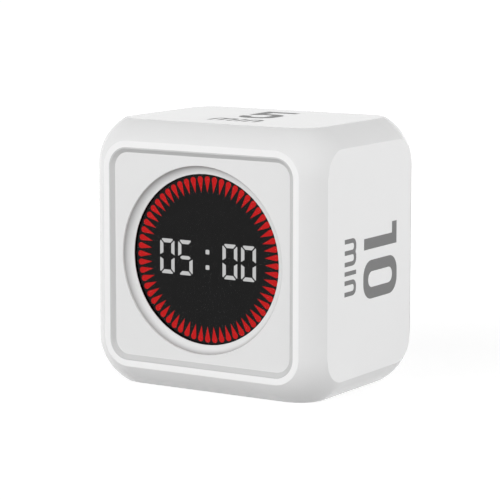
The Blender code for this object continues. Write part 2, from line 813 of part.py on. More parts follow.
def display_window():
    bm = bmesh.new()
    turned(bm, [(STACK_RADIUS, 0), (STACK_RADIUS, WINDOW_THICKNESS)], RECESS_STEPS)
    add_object("display_window", bm, smoked_plastic(), (0, WINDOW_FRONT, 0))


def light_mask():
    bm = bmesh.new()
    outlines = [circle(STACK_RADIUS, RECESS_STEPS)] + drop_outlines(BULB_STEPS) + digit_outlines()
    pierced_plate(bm, outlines, 0, MASK_THICKNESS)
    add_object("light_mask", bm, black_plastic(), (0, MASK_FRONT, 0))


def add_pips(diffuser, name, outlines):
    """Raise a pip into each cell of the mask, clear of its walls and level with the mask's front."""
    bm = bmesh.new()
    for outline in outlines:
        prism(bm, inset(outline, CLEARANCE), MASK_FRONT - DIFFUSER_FRONT, DIFFUSER_BASE / 2)
    join(diffuser, name, bm)


def ring_diffuser():
    bm = bmesh.new()
    outlines = [circle(STACK_RADIUS, RING_STEPS), circle(diffuser_split_radius() + CLEARANCE, RING_STEPS)]
    pierced_plate(bm, outlines, 0, DIFFUSER_BASE)
    obj = add_object("ring_diffuser", bm, red_diffuser(), (0, DIFFUSER_FRONT, 0))
    add_pips(obj, "ring_pips", drop_outlines(PIP_STEPS))


def digit_diffuser():
    bm = bmesh.new()
    prism(bm, circle(diffuser_split_radius(), RING_STEPS), 0, DIFFUSER_BASE)
    obj = add_object("digit_diffuser", bm, milky_diffuser(), (0, DIFFUSER_FRONT, 0))
    add_pips(obj, "digit_pips", digit_outlines())


def display_board():
    hole = SMALL_SCREW_SHANK_RADIUS + CLEARANCE
    outlines = [circle(DISPLAY_BOARD_RADIUS, RING_STEPS)]
    outlines += [circle(hole, HOLE_STEPS, x, z) for x, z in display_boss_places()]
    bm = bmesh.new()
    pierced_plate(bm, outlines, 0, DISPLAY_BOARD_THICKNESS)
    add_object("display_board", bm, circuit_board(), (0, DISPLAY_BOARD_FRONT, 0))


def display_driver():
    size = (DRIVER_SIDE, DRIVER_SIDE, CHIP_CORNER, DRIVER_THICKNESS)
    box_part("display_driver", *size, chip_plastic(), (0, DISPLAY_BOARD_BACK + CLEARANCE, 0))


# Screws


def screw(name, head_radius, head_height, shank_radius, length, location, faces_front=False):
    """A screw whose head sits on the location, head towards +Y unless it faces the front."""
    profile = [(shank_radius, -length), (shank_radius, 0), (head_radius, 0), (head_radius, head_height)]
    bm = bmesh.new()
    turned(bm, profile, SCREW_STEPS)
    obj = add_object(name, bm, steel(), location)
    if faces_front:
        obj.rotation_euler.z = math.pi


def screws():
    for i, (x, z) in enumerate(post_places(), 1):
        screw(
            f"cover_screw_{i}",
            COVER_SCREW_HEAD_RADIUS,
            COVER_SCREW_HEAD_HEIGHT,
            COVER_SCREW_SHANK_RADIUS,
            COVER_SCREW_LENGTH,
            (x, SCREW_SEAT + CLEARANCE, z),
        )
    small = (SMALL_SCREW_HEAD_RADIUS, SMALL_SCREW_HEAD_HEIGHT, SMALL_SCREW_SHANK_RADIUS, SMALL_SCREW_LENGTH)
    for i, (x, z) in enumerate(display_boss_places(), 1):
        screw(f"display_screw_{i}", *small, (x, DISPLAY_BOARD_BACK + CLEARANCE, z))
    for i, (x, z) in enumerate(board_boss_places(), 1):
        screw(f"board_screw_{i}", *small, (x, MAIN_BOARD_FRONT - CLEARANCE, z), faces_front=True)


# Main board and what stands on it


def main_board():
    hole = SMALL_SCREW_SHANK_RADIUS + CLEARANCE
    outlines = [rounded_rectangle(MAIN_BOARD_WIDTH, MAIN_BOARD_HEIGHT, MAIN_BOARD_CORNER)]
    outlines += [circle(hole, HOLE_STEPS, x, z) for x, z in board_boss_places()]
    bm = bmesh.new()
    pierced_plate(bm, outlines, 0, MAIN_BOARD_THICKNESS)
    add_object("main_board", bm, circuit_board(), (0, MAIN_BOARD_FRONT, 0))


def chips():
    rows = (
        ("microcontroller", CONTROLLER_SIDE, CONTROLLER_THICKNESS, 0.0),
        ("motion_sensor", SENSOR_SIDE, SENSOR_THICKNESS, -SMALL_CHIP_X),
        ("charger_chip", CHARGER_SIDE, CHARGER_THICKNESS, SMALL_CHIP_X),
    )
    for name, side, thickness, x in rows:
        box_part(name, side, side, CHIP_CORNER, thickness, chip_plastic(), (x, SWITCH_FOOT, UPPER_ROW_Z))


def battery():
    place = (0, BATTERY_FRONT, 0)
    bm = bmesh.new()
    edge = BATTERY_CORNER / 2
    body = rounded_rectangle(BATTERY_WIDTH, BATTERY_HEIGHT, BATTERY_CORNER)
    face = inset(body, edge)
    sections = [(face, 0), (body, edge), (body, BATTERY_THICKNESS - edge), (face, BATTERY_THICKNESS)]
    loft(bm, sections)
    add_object("battery", bm, pouch_foil(), place)
    width = BATTERY_WIDTH - 2 * BATTERY_PAD_MARGIN
    height = BATTERY_HEIGHT - 2 * BATTERY_PAD_MARGIN
    place = (0, BATTERY_BACK + CLEARANCE, 0)
    box_part("battery_pad", width, height, BATTERY_CORNER, BATTERY_PAD_THICKNESS, foam(), place)


def battery_socket_x():
    return (BATTERY_WIDTH + MAIN_BOARD_WIDTH) / 4


def battery_socket():
    place = (battery_socket_x(), MAIN_BOARD_FRONT - CLEARANCE - BATTERY_SOCKET_DEPTH, 0)
    size = (BATTERY_SOCKET_WIDTH, BATTERY_SOCKET_HEIGHT, CHIP_CORNER, BATTERY_SOCKET_DEPTH)
    box_part("battery_socket", *size, socket_plastic(), place)


def battery_lead(name, z, look):
    """A tube from the battery's side, round one bend, into the socket."""
    start = BATTERY_WIDTH / 2 + CLEARANCE
    level = (BATTERY_FRONT + BATTERY_BACK) / 2 - LEAD_BEND
    end = MAIN_BOARD_FRONT - 2 * CLEARANCE - BATTERY_SOCKET_DEPTH
    x = battery_socket_x()
    bend = arc(x - LEAD_BEND, level + LEAD_BEND, LEAD_BEND, -math.pi / 2, 0, LEAD_STEPS)
    route = [(start, level)] + bend + [(x, end)]
    curve = bpy.data.curves.new(name, "CURVE")
    curve.dimensions = "3D"
    curve.bevel_depth = LEAD_RADIUS
    curve.bevel_resolution = 1
    curve.use_fill_caps = True
    spline = curve.splines.new("POLY")
    spline.points.add(len(route) - 1)
    for point, (px, py) in zip(spline.points, route):
        point.co = (px, py, 0, 1)
    curve.materials.append(look)
    obj = bpy.data.objects.new(name, curve)
    obj.location = (0, 0, z)
    bpy.context.scene.collection.objects.link(obj)


def battery_leads():
    battery_lead("battery_lead_red", LEAD_SPACING / 2, wire_cover("wire_red", (0.5, 0.01, 0.01)))
    battery_lead("battery_lead_black", -LEAD_SPACING / 2, wire_cover("wire_black", (0.01, 0.01, 0.01)))


def main_socket_z():
    return -MAIN_BOARD_HEIGHT / 2 + MAIN_SOCKET_EDGE + RIBBON_SOCKET_HEIGHT / 2


def ribbon_sockets():
    size = (RIBBON_WIDTH + 2 * RIBBON_SOCKET_SIDE, RIBBON_SOCKET_HEIGHT, CHIP_CORNER, RIBBON_SOCKET_DEPTH)
    place = (RIBBON_X, DISPLAY_BOARD_BACK + CLEARANCE, DISPLAY_SOCKET_Z)
    box_part("display_ribbon_socket", *size, socket_plastic(), place)
    place = (RIBBON_X, MAIN_BOARD_FRONT - CLEARANCE - RIBBON_SOCKET_DEPTH, main_socket_z())
    box_part("main_ribbon_socket", *size, socket_plastic(), place)


def ribbon_cable():
    """A flat strip from one socket down, along the floor of the housing and up into the other socket."""
    half_socket = RIBBON_SOCKET_HEIGHT / 2
    front = DISPLAY_BOARD_BACK + CLEARANCE + RIBBON_SOCKET_DEPTH / 2
    back = MAIN_BOARD_FRONT - CLEARANCE - RIBBON_SOCKET_DEPTH / 2
    floor = WALL + RIBBON_FLOOR_GAP - BODY_WIDTH / 2
    starts = DISPLAY_SOCKET_Z - half_socket - CLEARANCE
    ends = main_socket_z() - half_socket - CLEARANCE
    outline = []
    for side in (RIBBON_THICKNESS / 2, -RIBBON_THICKNESS / 2):
        bend = RIBBON_BEND + side
        run = [(front - side, starts)]
        run += arc(front + RIBBON_BEND, floor + RIBBON_BEND, bend, math.pi, 1.5 * math.pi, LEAD_STEPS)
        run += arc(back - RIBBON_BEND, floor + RIBBON_BEND, bend, 1.5 * math.pi, 2 * math.pi, LEAD_STEPS)
        run.append((back + side, ends))
        outline += run if side > 0 else list(reversed(run))
    bm = bmesh.new()
    half = RIBBON_WIDTH / 2
    left = [bm.verts.new((-half, y, z)) for y, z in outline]
    right = [bm.verts.new((half, y, z)) for y, z in outline]
    for i in range(len(outline)):
        bm.faces.new((left[i - 1], left[i], right[i], right[i - 1]))
    bm.faces.new(left)
    bm.faces.new(right)
    add_object("ribbon_cable", bm, ribbon_film(), (RIBBON_X, 0, 0))


# Controls on the rear cover


def plunger_top():
    return TACT_HEIGHT + PLUNGER_STAND


def button(name, x):
    """A cap, retained by its flange behind the cover, over a push switch and its plunger."""
    flange_top = REAR_INNER - CLEARANCE - REAR_PANEL
    flange_foot = flange_top - BUTTON_FLANGE_THICKNESS
    flange = BUTTON_RADIUS + BUTTON_FLANGE
    stem_foot = SWITCH_FOOT + plunger_top() + CLEARANCE - REAR_PANEL
    profile = [
        (BUTTON_RADIUS - BUTTON_EDGE, BUTTON_STAND),
        (BUTTON_RADIUS, BUTTON_STAND - BUTTON_EDGE),
        (BUTTON_RADIUS, flange_top),
        (flange, flange_top),
        (flange, flange_foot),
        (BUTTON_STEM_RADIUS, flange_foot),
        (BUTTON_STEM_RADIUS, stem_foot),
    ]
    bm = bmesh.new()
    turned(bm, profile, BUTTON_STEPS)
    add_object(name, bm, white_plastic(), (x, REAR_PANEL, BUTTON_Z))


def push_switch(name, x):
    obj = box_part(
        name + "_switch",
        TACT_WIDTH,
        TACT_WIDTH,
        TACT_CORNER,
        TACT_HEIGHT,
        chip_plastic(),
        (x, SWITCH_FOOT, BUTTON_Z),
    )
    bore_foot = TACT_HEIGHT - TACT_BORE_DEPTH
    bm = bmesh.new()
    prism(bm, circle(PLUNGER_RADIUS + CLEARANCE, POST_STEPS), bore_foot, TACT_HEIGHT + OVERRUN)
    cut(obj, name + "_bore", bm)
    foot = bore_foot + BUTTON_TRAVEL + CLEARANCE
    bm = bmesh.new()
    turned(bm, [(PLUNGER_RADIUS, foot), (PLUNGER_RADIUS, plunger_top())], POST_STEPS)
    add_object(name + "_plunger", bm, grey_plastic(), (x, SWITCH_FOOT, BUTTON_Z))


def buttons():
    for name, x in zip(("minute_button", "start_button", "second_button"), button_places()):
        button(name, x)
        push_switch(name, x)


def slide_knob():
    """The knob in its slot, the plate that hides the slot and the stem down to the switch."""
    plate_top = REAR_INNER - CLEARANCE - REAR_PANEL
    plate_foot = plate_top - SLIDER_PLATE_THICKNESS
    stem_foot = SWITCH_FOOT + SLIDE_BODY_HEIGHT + CLEARANCE - REAR_PANEL
    plate_width = KNOB_WIDTH + 2 * (SLIDE_TRAVEL + CLEARANCE + SLIDER_PLATE_COVER)
    plate_height = KNOB_HEIGHT + 2 * (CLEARANCE + SLIDER_PLATE_COVER)
    knob = rounded_rectangle(KNOB_WIDTH, KNOB_HEIGHT, KNOB_CORNER)
    plate = rounded_rectangle(plate_width, plate_height, KNOB_CORNER)
    stem = rounded_rectangle(SLIDE_STEM_WIDTH, KNOB_HEIGHT, KNOB_CORNER)
    sections = [
        (stem, stem_foot),
        (stem, plate_foot),
        (plate, plate_foot),
        (plate, plate_top),
        (knob, plate_top),
        (knob, KNOB_STAND),
    ]
    bm = bmesh.new()
    loft(bm, sections)
    obj = add_object("slide_knob", bm, grey_plastic(), (-LOWER_CONTROL_X, REAR_PANEL, LOWER_CONTROL_Z))
    bm = bmesh.new()
    for step in (-1, 0, 1):
        groove = rectangle(KNOB_GRIP_WIDTH, KNOB_HEIGHT + 2 * OVERRUN, step * KNOB_GRIP_PITCH)
        prism(bm, groove, KNOB_STAND - KNOB_GRIP_DEPTH, KNOB_STAND + OVERRUN)
    cut(obj, "knob_grip", bm)
    pocket_height = ACTUATOR_HEIGHT + 2 * CLEARANCE
    pocket_width = ACTUATOR_WIDTH + 2 * CLEARANCE
    bm = bmesh.new()
    pocket_top = stem_foot + ACTUATOR_STAND
    prism(bm, rectangle(pocket_width, pocket_height), stem_foot - OVERRUN, pocket_top)
    cut(obj, "actuator_pocket", bm)


def slide_switch():
    obj = box_part(
        "slide_switch",
        SLIDE_BODY_WIDTH,
        SLIDE_BODY_DEPTH,
        SLIDE_BODY_CORNER,
        SLIDE_BODY_HEIGHT,
        steel(),
        (-LOWER_CONTROL_X, SWITCH_FOOT, LOWER_CONTROL_Z),
    )
    track_foot = SLIDE_BODY_HEIGHT - SLIDE_TRACK_DEPTH
    track_width = ACTUATOR_WIDTH + SLIDE_TRAVEL + 2 * CLEARANCE
    track_height = ACTUATOR_HEIGHT + 2 * CLEARANCE
    track = rectangle(track_width, track_height)
    bm = bmesh.new()
    prism(bm, track, track_foot, SLIDE_BODY_HEIGHT + OVERRUN)
    cut(obj, "switch_track", bm)
    actuator = rectangle(ACTUATOR_WIDTH, ACTUATOR_HEIGHT)
    bm = bmesh.new()
    prism(bm, actuator, track_foot + CLEARANCE, SLIDE_BODY_HEIGHT + ACTUATOR_STAND - CLEARANCE)
    add_object("slide_actuator", bm, chip_plastic(), (-LOWER_CONTROL_X, SWITCH_FOOT, LOWER_CONTROL_Z))


def usb_port():
    """An upright socket on the main board: an oval shell round a tongue."""
    depth = REAR_PANEL - USB_MOUTH_SHY - SWITCH_FOOT
    outer = oval(USB_WIDTH, USB_HEIGHT)
    bm = bmesh.new()
    prism(bm, outer, 0, depth)
    obj = add_object("usb_port", bm, steel(), (LOWER_CONTROL_X, SWITCH_FOOT, LOWER_CONTROL_Z))
    bm = bmesh.new()
    prism(bm, inset(outer, USB_SHELL), USB_FLOOR, depth + OVERRUN)
    cut(obj, "usb_hollow", bm)
    tongue = rectangle(USB_TONGUE_WIDTH, USB_TONGUE_THICKNESS)
    bm = bmesh.new()
    prism(bm, tongue, USB_FLOOR / 2, depth - USB_TONGUE_SHY)
    join(obj, "usb_tongue", bm)


def buzzer():
    gasket_front = REAR_INNER - CLEARANCE - GASKET_THICKNESS
    top = gasket_front - CLEARANCE
    bm = bmesh.new()
    edge = BUZZER_PORT_DEPTH / 2
    profile = [
        (BUZZER_RADIUS - edge, -BUZZER_HEIGHT),
        (BUZZER_RADIUS, edge - BUZZER_HEIGHT),
        (BUZZER_RADIUS, -edge),
        (BUZZER_RADIUS - edge, 0),
    ]
    turned(bm, profile, BUTTON_STEPS)
    obj = add_object("buzzer", bm, black_plastic(), (0, top, BUZZER_Z))
    bm = bmesh.new()
    prism(bm, circle(BUZZER_PORT_RADIUS, SCREW_STEPS), -BUZZER_PORT_DEPTH, OVERRUN)
    cut(obj, "buzzer_port", bm)
    bm = bmesh.new()
    outlines = [circle(BUZZER_RADIUS, BUTTON_STEPS), circle(BUZZER_RADIUS - GASKET_WIDTH, BUTTON_STEPS)]
    pierced_plate(bm, outlines, 0, GASKET_THICKNESS)
    add_object("buzzer_gasket", bm, foam(), (0, gasket_front, BUZZER_Z))


def stand_on_floor():
    """Hang every piece from an empty at the housing's middle, so that the housing stands on Z = 0."""
    centre = bpy.data.objects.new("body_centre", None)
    bpy.context.scene.collection.objects.link(centre)
    centre.location.z = BODY_WIDTH / 2
    for obj in bpy.context.scene.collection.objects:
        if obj is not centre:
            obj.parent = centre


def main():
    clear_scene()
    housing()
    rear_cover()
    display_window()
    light_mask()
    ring_diffuser()
    digit_diffuser()
    display_board()
    display_driver()
    screws()
    main_board()
    chips()
    battery()
    battery_socket()
    battery_leads()
    ribbon_sockets()
    ribbon_cable()
    buttons()
    slide_knob()
    slide_switch()
    usb_port()
    buzzer()
    stand_on_floor()


main()
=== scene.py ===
"""Cube timer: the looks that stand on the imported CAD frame.

Sizes are millimetres in the row frame, with the front facing -Y and the top +Z. A height on the front or
rear counts outwards from the body's full depth, so what is sunk in a face has a negative height.
"""

import logging
import math
from collections.abc import Iterable, Mapping, Sequence
from dataclasses import dataclass
from enum import Enum
from itertools import pairwise
from typing import ClassVar

import bpy
import numpy as np
from mathutils import Matrix, Vector
from mathutils.geometry import delaunay_2d_cdt


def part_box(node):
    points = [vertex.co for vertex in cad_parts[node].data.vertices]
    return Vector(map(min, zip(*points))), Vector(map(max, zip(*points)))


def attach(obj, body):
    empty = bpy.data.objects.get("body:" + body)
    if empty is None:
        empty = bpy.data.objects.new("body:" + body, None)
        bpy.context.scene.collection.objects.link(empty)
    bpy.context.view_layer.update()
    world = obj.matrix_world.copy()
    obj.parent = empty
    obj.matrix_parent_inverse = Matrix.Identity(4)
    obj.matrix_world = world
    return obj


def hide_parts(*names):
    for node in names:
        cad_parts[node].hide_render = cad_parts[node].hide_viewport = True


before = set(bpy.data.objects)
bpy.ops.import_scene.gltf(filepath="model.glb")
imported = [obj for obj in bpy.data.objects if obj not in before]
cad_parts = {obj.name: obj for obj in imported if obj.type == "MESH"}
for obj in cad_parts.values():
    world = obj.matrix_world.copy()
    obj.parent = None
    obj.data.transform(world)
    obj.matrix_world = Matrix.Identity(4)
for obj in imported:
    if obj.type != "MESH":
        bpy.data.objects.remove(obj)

LOG = logging.getLogger("cube_timer")
MM = 0.001
QUARTER = math.pi / 2
SHARP = math.cos(math.radians(28))
SMOOTH = -1.0
SAME = 1e-6
MERGE_STEPS = 5000
MERGE_SHIFT = 0.37
NOISE_ROUGHNESS = 0.55

HALF_WIDTH = 30.0
HALF_DEPTH = 23.25
CENTRE_Z = 30.0
STEP_DEPTH = 0.7
PANEL_INSIDE = 20.6
CLEARANCE = 0.3
SCREW_SINK = 1.5
SHELF = PANEL_INSIDE - CLEARANCE - HALF_DEPTH

Triple = tuple[float, float, float]
Loop = np.ndarray | Sequence[tuple[float, float]]
Corners = Sequence[Sequence[float]]
Signal = bpy.types.NodeSocket


class Body(str, Enum):
    """The moving groups of the CAD frame."""

    CASE = "case"
    MINUTE = "minute_key"
    START = "start_key"
    SECOND = "second_key"
    VOLUME = "volume_slider"


class Slot(str, Enum):
    """The record's material slots."""

    WHITE = "white_plastic"
    SMOKED = "smoked_plastic"
    BLACK = "black_plastic"
    RED = "red_diffuser"
    MILKY = "milky_diffuser"
    STEEL = "steel"
    GREY = "grey_plastic"


# Mesh tools


@dataclass(frozen=True)
class Place:
    """A flat frame on the body: its origin, which way across and up run, and which way it faces."""

    origin: Triple
    across: Triple
    up: Triple
    facing: Triple

    def lean(self, flat: np.ndarray, out: float, rise: float) -> np.ndarray:
        """Directions that go `out` along flat ones and `rise` along the facing."""
        return out * (flat @ np.array([self.across, self.up], float)) + rise * np.array(self.facing, float)

    def at(self, flat: np.ndarray, height: float) -> np.ndarray:
        """Points of the row frame for flat (across, up) points at a height above the plane."""
        return np.array(self.origin) + self.lean(flat, 1, height)


FRONT = Place((0, -HALF_DEPTH, CENTRE_Z), (1, 0, 0), (0, 0, 1), (0, -1, 0))
REAR = Place((0, HALF_DEPTH, CENTRE_Z), (1, 0, 0), (0, 0, 1), (0, 1, 0))


def middle(node: str) -> Triple:
    """Find a CAD node's middle.

    Args:
        node: the node's name.

    Returns:
        Its place across, up from the body's centre, and in depth.
    """
    low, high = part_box(node)
    mid = (low + high) / 2 / MM
    return mid.x, mid.z - CENTRE_Z, mid.y


def show(name: str, data: bpy.types.ID) -> bpy.types.Object:
    """Put an object in the scene.

    Args:
        name: its name.
        data: its mesh, lamp or camera.

    Returns:
        The new object.
    """
    made = bpy.data.objects.new(name, data)
    bpy.context.scene.collection.objects.link(made)
    return made


def apart(outline: np.ndarray) -> np.ndarray:
    """An outline with its repeated points left out."""
    return outline[np.linalg.norm(outline - np.roll(outline, 1, axis=0), axis=1) > SAME]


def fill(outlines: Sequence[np.ndarray]) -> list[list[int]]:
    """Cover the area inside the first flat outline and outside the others with triangles.

    Args:
        outlines: flat outlines that don't touch each other.

    Returns:
        Corner numbers, counted through all the outlines in order.
    """
    spots = np.concatenate(outlines)
    loops = np.split(np.arange(len(spots)), np.cumsum([len(line) for line in outlines])[:-1])
    edges = np.concatenate([np.column_stack([loop, np.roll(loop, -1)]) for loop in loops])
    vectors = [Vector(spot) for spot in spots]
    *_, triangles, origins, _, _ = delaunay_2d_cdt(vectors, edges.tolist(), [], 0, 1e-7, True)
    triangles = np.array([[origins[i][0] for i in triangle] for triangle in triangles])
    x, z = spots[triangles].mean(axis=1).T[:, :, None]
    (ax, az), (bx, bz) = spots[edges[:, 0]].T[:, None, :], spots[edges[:, 1]].T[:, None, :]
    level = np.where(az == bz, 1.0, bz - az)
    crossed = ((az > z) != (bz > z)) & (x < ax + (bx - ax) * (z - az) / level)
    return triangles[crossed.sum(axis=1) % 2 == 1].tolist()


@dataclass
class Ring:
    """A run of points, each with its own normal."""

    points: np.ndarray
    normals: np.ndarray

    def facing(self, way: float) -> "Ring":
        """The same points, all with one normal along Y."""
        return Ring(self.points, np.tile([0.0, way, 0.0], (len(self.points), 1)))

    def flat(self) -> np.ndarray:
        """The points' flat outline about the body's centre."""
        return apart(self.points[:, [0, 2]] - np.array([0, CENTRE_Z]))


def join(corners: Sequence[Ring], flat: int) -> Ring:
    """Join corners into one ring, with points spread evenly along each straight stretch.

    Args:
        corners: the corners' runs of points in order.
        flat: how many parts each straight stretch has.

    Returns:
        The whole ring.
    """
    share = np.arange(1, flat)[:, None] / flat
    points, normals = [], []
    for run, following in zip(corners, [*corners[1:], corners[0]]):
        start, end = run.points[-1], following.points[0]
        points += [run.points, start + share * (end - start)]
        normals += [run.normals, np.repeat(run.normals[-1:], flat - 1, axis=0)]
    return Ring(np.concatenate(points), np.concatenate(normals))


@dataclass(frozen=True)
class Rib:
    """One point of a profile: how far out and how high it is, and where its normal points."""

    reach: float
    height: float
    out: float
    rise: float


def soften(corners: Corners, steps: int = 3) -> list[Rib]:
    """Turn a profile's corners into ribs, with each corner rounded by its own radius.

    Args:
        corners: (reach, height) or (reach, height, radius). A radius of 0 keeps the corner sharp, and
            SMOOTH marks a point of a smooth curve. The surface faces the right of the travel.
        steps: how many facets each rounding gets.

    Returns:
        The ribs in order.
    """
    spots = [np.array(corner[:2], float) for corner in corners]
    radii = [corner[2] if len(corner) > 2 else 0.0 for corner in corners]
    legs = [(b - a) / np.linalg.norm(b - a) for a, b in pairwise(spots)]
    sides = [np.array([leg[1], -leg[0]]) for leg in legs]
    ribs = [Rib(*spots[0], *sides[0])]
    for spot, radius, leg, ahead, side in zip(spots[1:], radii[1:], legs, legs[1:], sides):
        turn = math.atan2(leg[0] * ahead[1] - leg[1] * ahead[0], float(leg @ ahead))
        bend = math.copysign(max(radius, 0.0), turn)
        hub = spot - leg * abs(bend) * math.tan(abs(turn) / 2) - bend * side
        for share in [0.5] if radius == SMOOTH else np.linspace(0, 1, steps + 1 if radius else 2):
            c, s = math.cos(turn * share), math.sin(turn * share)
            normal = np.array([c * side[0] - s * side[1], s * side[0] + c * side[1]])
            ribs.append(Rib(*(hub + bend * normal), *normal))
    return [*ribs, Rib(*spots[-1], *sides[-1])]


@dataclass(frozen=True)
class RoundRect:
    """A rounded rectangle. Equal half sizes and corner make a circle."""

    half_width: float
    half_height: float
    corner: float
    x: float = 0.0
    z: float = 0.0
    arc: int = 8
    fan: int = 0
    flat: int = 1

    def outline(self, grow: float = 0.0) -> Ring:
        """Work out the flat points and flat normals.

        Args:
            grow: how far the outline is pushed outwards.

        Returns:
            Points and normals of two columns, with `fan` more points at each end of each corner.
        """
        turns = np.pad(np.linspace(0, QUARTER, self.arc + 1), self.fan, mode="edge")
        corners = []
        for quarter, (sx, sz) in enumerate(((1, 1), (-1, 1), (-1, -1), (1, -1))):
            t = turns + quarter * QUARTER
            way = np.column_stack([np.cos(t), np.sin(t)])
            hub = np.array([sx * (self.half_width - self.corner), sz * (self.half_height - self.corner)])
            corners.append(Ring(hub + (self.corner + grow) * way, way))
        whole = join(corners, self.flat)
        return Ring(whole.points + np.array([self.x, self.z]), whole.normals)

    def sweep(self, place: Place, ribs: Iterable[Rib]) -> list[Ring]:
        """Carry the outline through a profile.

        Args:
            place: the plane that the profile's heights count from.
            ribs: the profile.

        Returns:
            One ring for each rib.
        """
        flats = [(rib, self.outline(rib.reach)) for rib in ribs]
        return [Ring(place.at(flat.points, rib.height), place.lean(flat.normals, rib.out, rib.rise))
                for rib, flat in flats]


def circle(radius: float, x: float = 0.0, z: float = 0.0, arc: int = 12) -> RoundRect:
    """A round outline of four times `arc` facets."""
    return RoundRect(radius, radius, radius, x, z, arc)


class Skin:
    """Gathers faces whose corners carry their own normals, and makes one closed mesh of them.

    Its flat outlines lie on the plane that it works on, and its heights count from there.
    """

    def __init__(self, place: Place) -> None:
        """Start with no faces.

        Args:
            place: the plane that it works on.
        """
        self.place = place
        self.runs: list[Ring] = []
        self.faces: list[tuple[Sequence[int], int]] = []
        self.count = 0

    def add(self, points: np.ndarray, normals: np.ndarray) -> int:
        """Keep corners.

        Args:
            points: where they are.
            normals: the normal of each.

        Returns:
            The number of the first of them.
        """
        self.runs.append(Ring(points, normals))
        self.count += len(points)
        return self.count - len(points)

    def stack(self, rings: Sequence[Ring], finish: int = 0) -> None:
        """Join each ring to the next with a band of quads.

        Args:
            rings: rings with as many points each.
            finish: which of the piece's finishes the band takes.
        """
        starts = [self.add(ring.points, ring.normals) for ring in rings]
        size = len(rings[0].points)
        for low, high in pairwise(starts):
            for i in range(size):
                j = (i + 1) % size
                self.faces.append(((low + i, low + j, high + j, high + i), finish))

    def sweep(self, outline: RoundRect, corners: Corners) -> None:
        """Carry an outline through a profile of (reach, height, radius) corners."""
        self.stack(outline.sweep(self.place, soften(corners)))

    def plate(self, outlines: Sequence[np.ndarray], height: float, rise: float = 1, finish: int = 0) -> None:
        """Fill the area inside the first flat outline and outside the others.

        Args:
            outlines: flat outlines, the outer one first.
            height: the plate's height.
            rise: 1 where it faces as the plane does, -1 where it faces back.
            finish: which of the piece's finishes it takes.
        """
        flat = np.concatenate(outlines)
        start = self.add(self.place.at(flat, height), self.place.lean(0 * flat, 0, rise))
        self.faces += [([start + i for i in triangle], finish) for triangle in fill(outlines)]

    def wall(self, outline: np.ndarray, low: float, high: float, outer: bool = False,
             finish: int = 0) -> None:
        """Stand a wall on an outline, with its smooth runs shaded smooth.

        Args:
            outline: the flat points.
            low: the height of the wall's foot.
            high: the height of its top.
            outer: True where the solid is inside the outline.
            finish: which of the piece's finishes it takes.
        """
        outline = apart(outline)
        following = np.roll(outline, -1, axis=0)
        area = float(np.sum(outline[:, 0] * following[:, 1] - following[:, 0] * outline[:, 1]))
        edge = (following - outline) / np.linalg.norm(following - outline, axis=1, keepdims=True)
        side = np.column_stack([edge[:, 1], -edge[:, 0]]) * (1 if (area > 0) == outer else -1)
        for i in range(len(outline)):
            ends = []
            for other in (i - 1, (i + 1) % len(outline)):
                mean = side[i] + side[other] if float(side[i] @ side[other]) > SHARP else side[i]
                ends.append(mean / np.linalg.norm(mean))
            flat = np.array([outline[i], following[i]])
            ways = self.place.lean(np.array(ends), 1, 0)
            first = self.add(self.place.at(flat, low), ways)
            self.add(self.place.at(flat, high), ways)
            self.faces.append(((first, first + 1, first + 3, first + 2), finish))

    def prism(self, outlines: Sequence[np.ndarray], low: float, high: float, finish: int = 0) -> None:
        """Make a closed plate of even thickness.

        Args:
            outlines: flat outlines, the first its edge and the others its holes.
            low: the height of its underside.
            high: the height of its top.
            finish: which of the piece's finishes it takes.
        """
        self.plate(outlines, high, 1, finish)
        self.plate(outlines, low, -1, finish)
        for i, outline in enumerate(outlines):
            self.wall(outline, low, high, i == 0, finish)

    def build(self, name: str, finishes: Iterable[bpy.types.Material]) -> bpy.types.Object:
        """Merge the corners, turn each face the way its normals point, and make the object.

        Args:
            name: the piece's name.
            finishes: its materials, in the order that the faces number them.

        Returns:
            The new object, in metres.
        """
        points = np.concatenate([run.points for run in self.runs])
        normals = np.concatenate([run.normals for run in self.runs])
        keys = np.floor(points * MERGE_STEPS + MERGE_SHIFT).astype(np.int64)
        _, first, merged = np.unique(keys, axis=0, return_index=True, return_inverse=True)
        merged = merged.reshape(-1)
        spots = points[first]
        faces, ways, numbers = [], [], []
        for corners, number in self.faces:
            kept = [c for i, c in enumerate(corners) if merged[c] != merged[corners[i - 1]]]
            if len({int(merged[c]) for c in kept}) < 3:
                continue
            ring = spots[merged[kept]]
            across = np.cross(ring - ring[0], np.roll(ring, -1, axis=0) - ring[0]).sum(axis=0)
            if across @ normals[kept].sum(axis=0) < 0:
                kept.reverse()
            faces.append([int(merged[c]) for c in kept])
            ways += [normals[c] / np.linalg.norm(normals[c]) for c in kept]
            numbers.append(number)
        mesh = bpy.data.meshes.new(name)
        mesh.from_pydata((spots * MM).tolist(), [], faces)
        mesh.polygons.foreach_set("material_index", numbers)
        mesh.polygons.foreach_set("use_smooth", [True] * len(faces))
        mesh.update()
        mesh.normals_split_custom_set([way.tolist() for way in ways])
        for finish in finishes:
            mesh.materials.append(finish)
        return show(name, mesh)


# Finishes


def grey(level: float) -> Triple:
    """A grey of this level."""
    return (level, level, level)


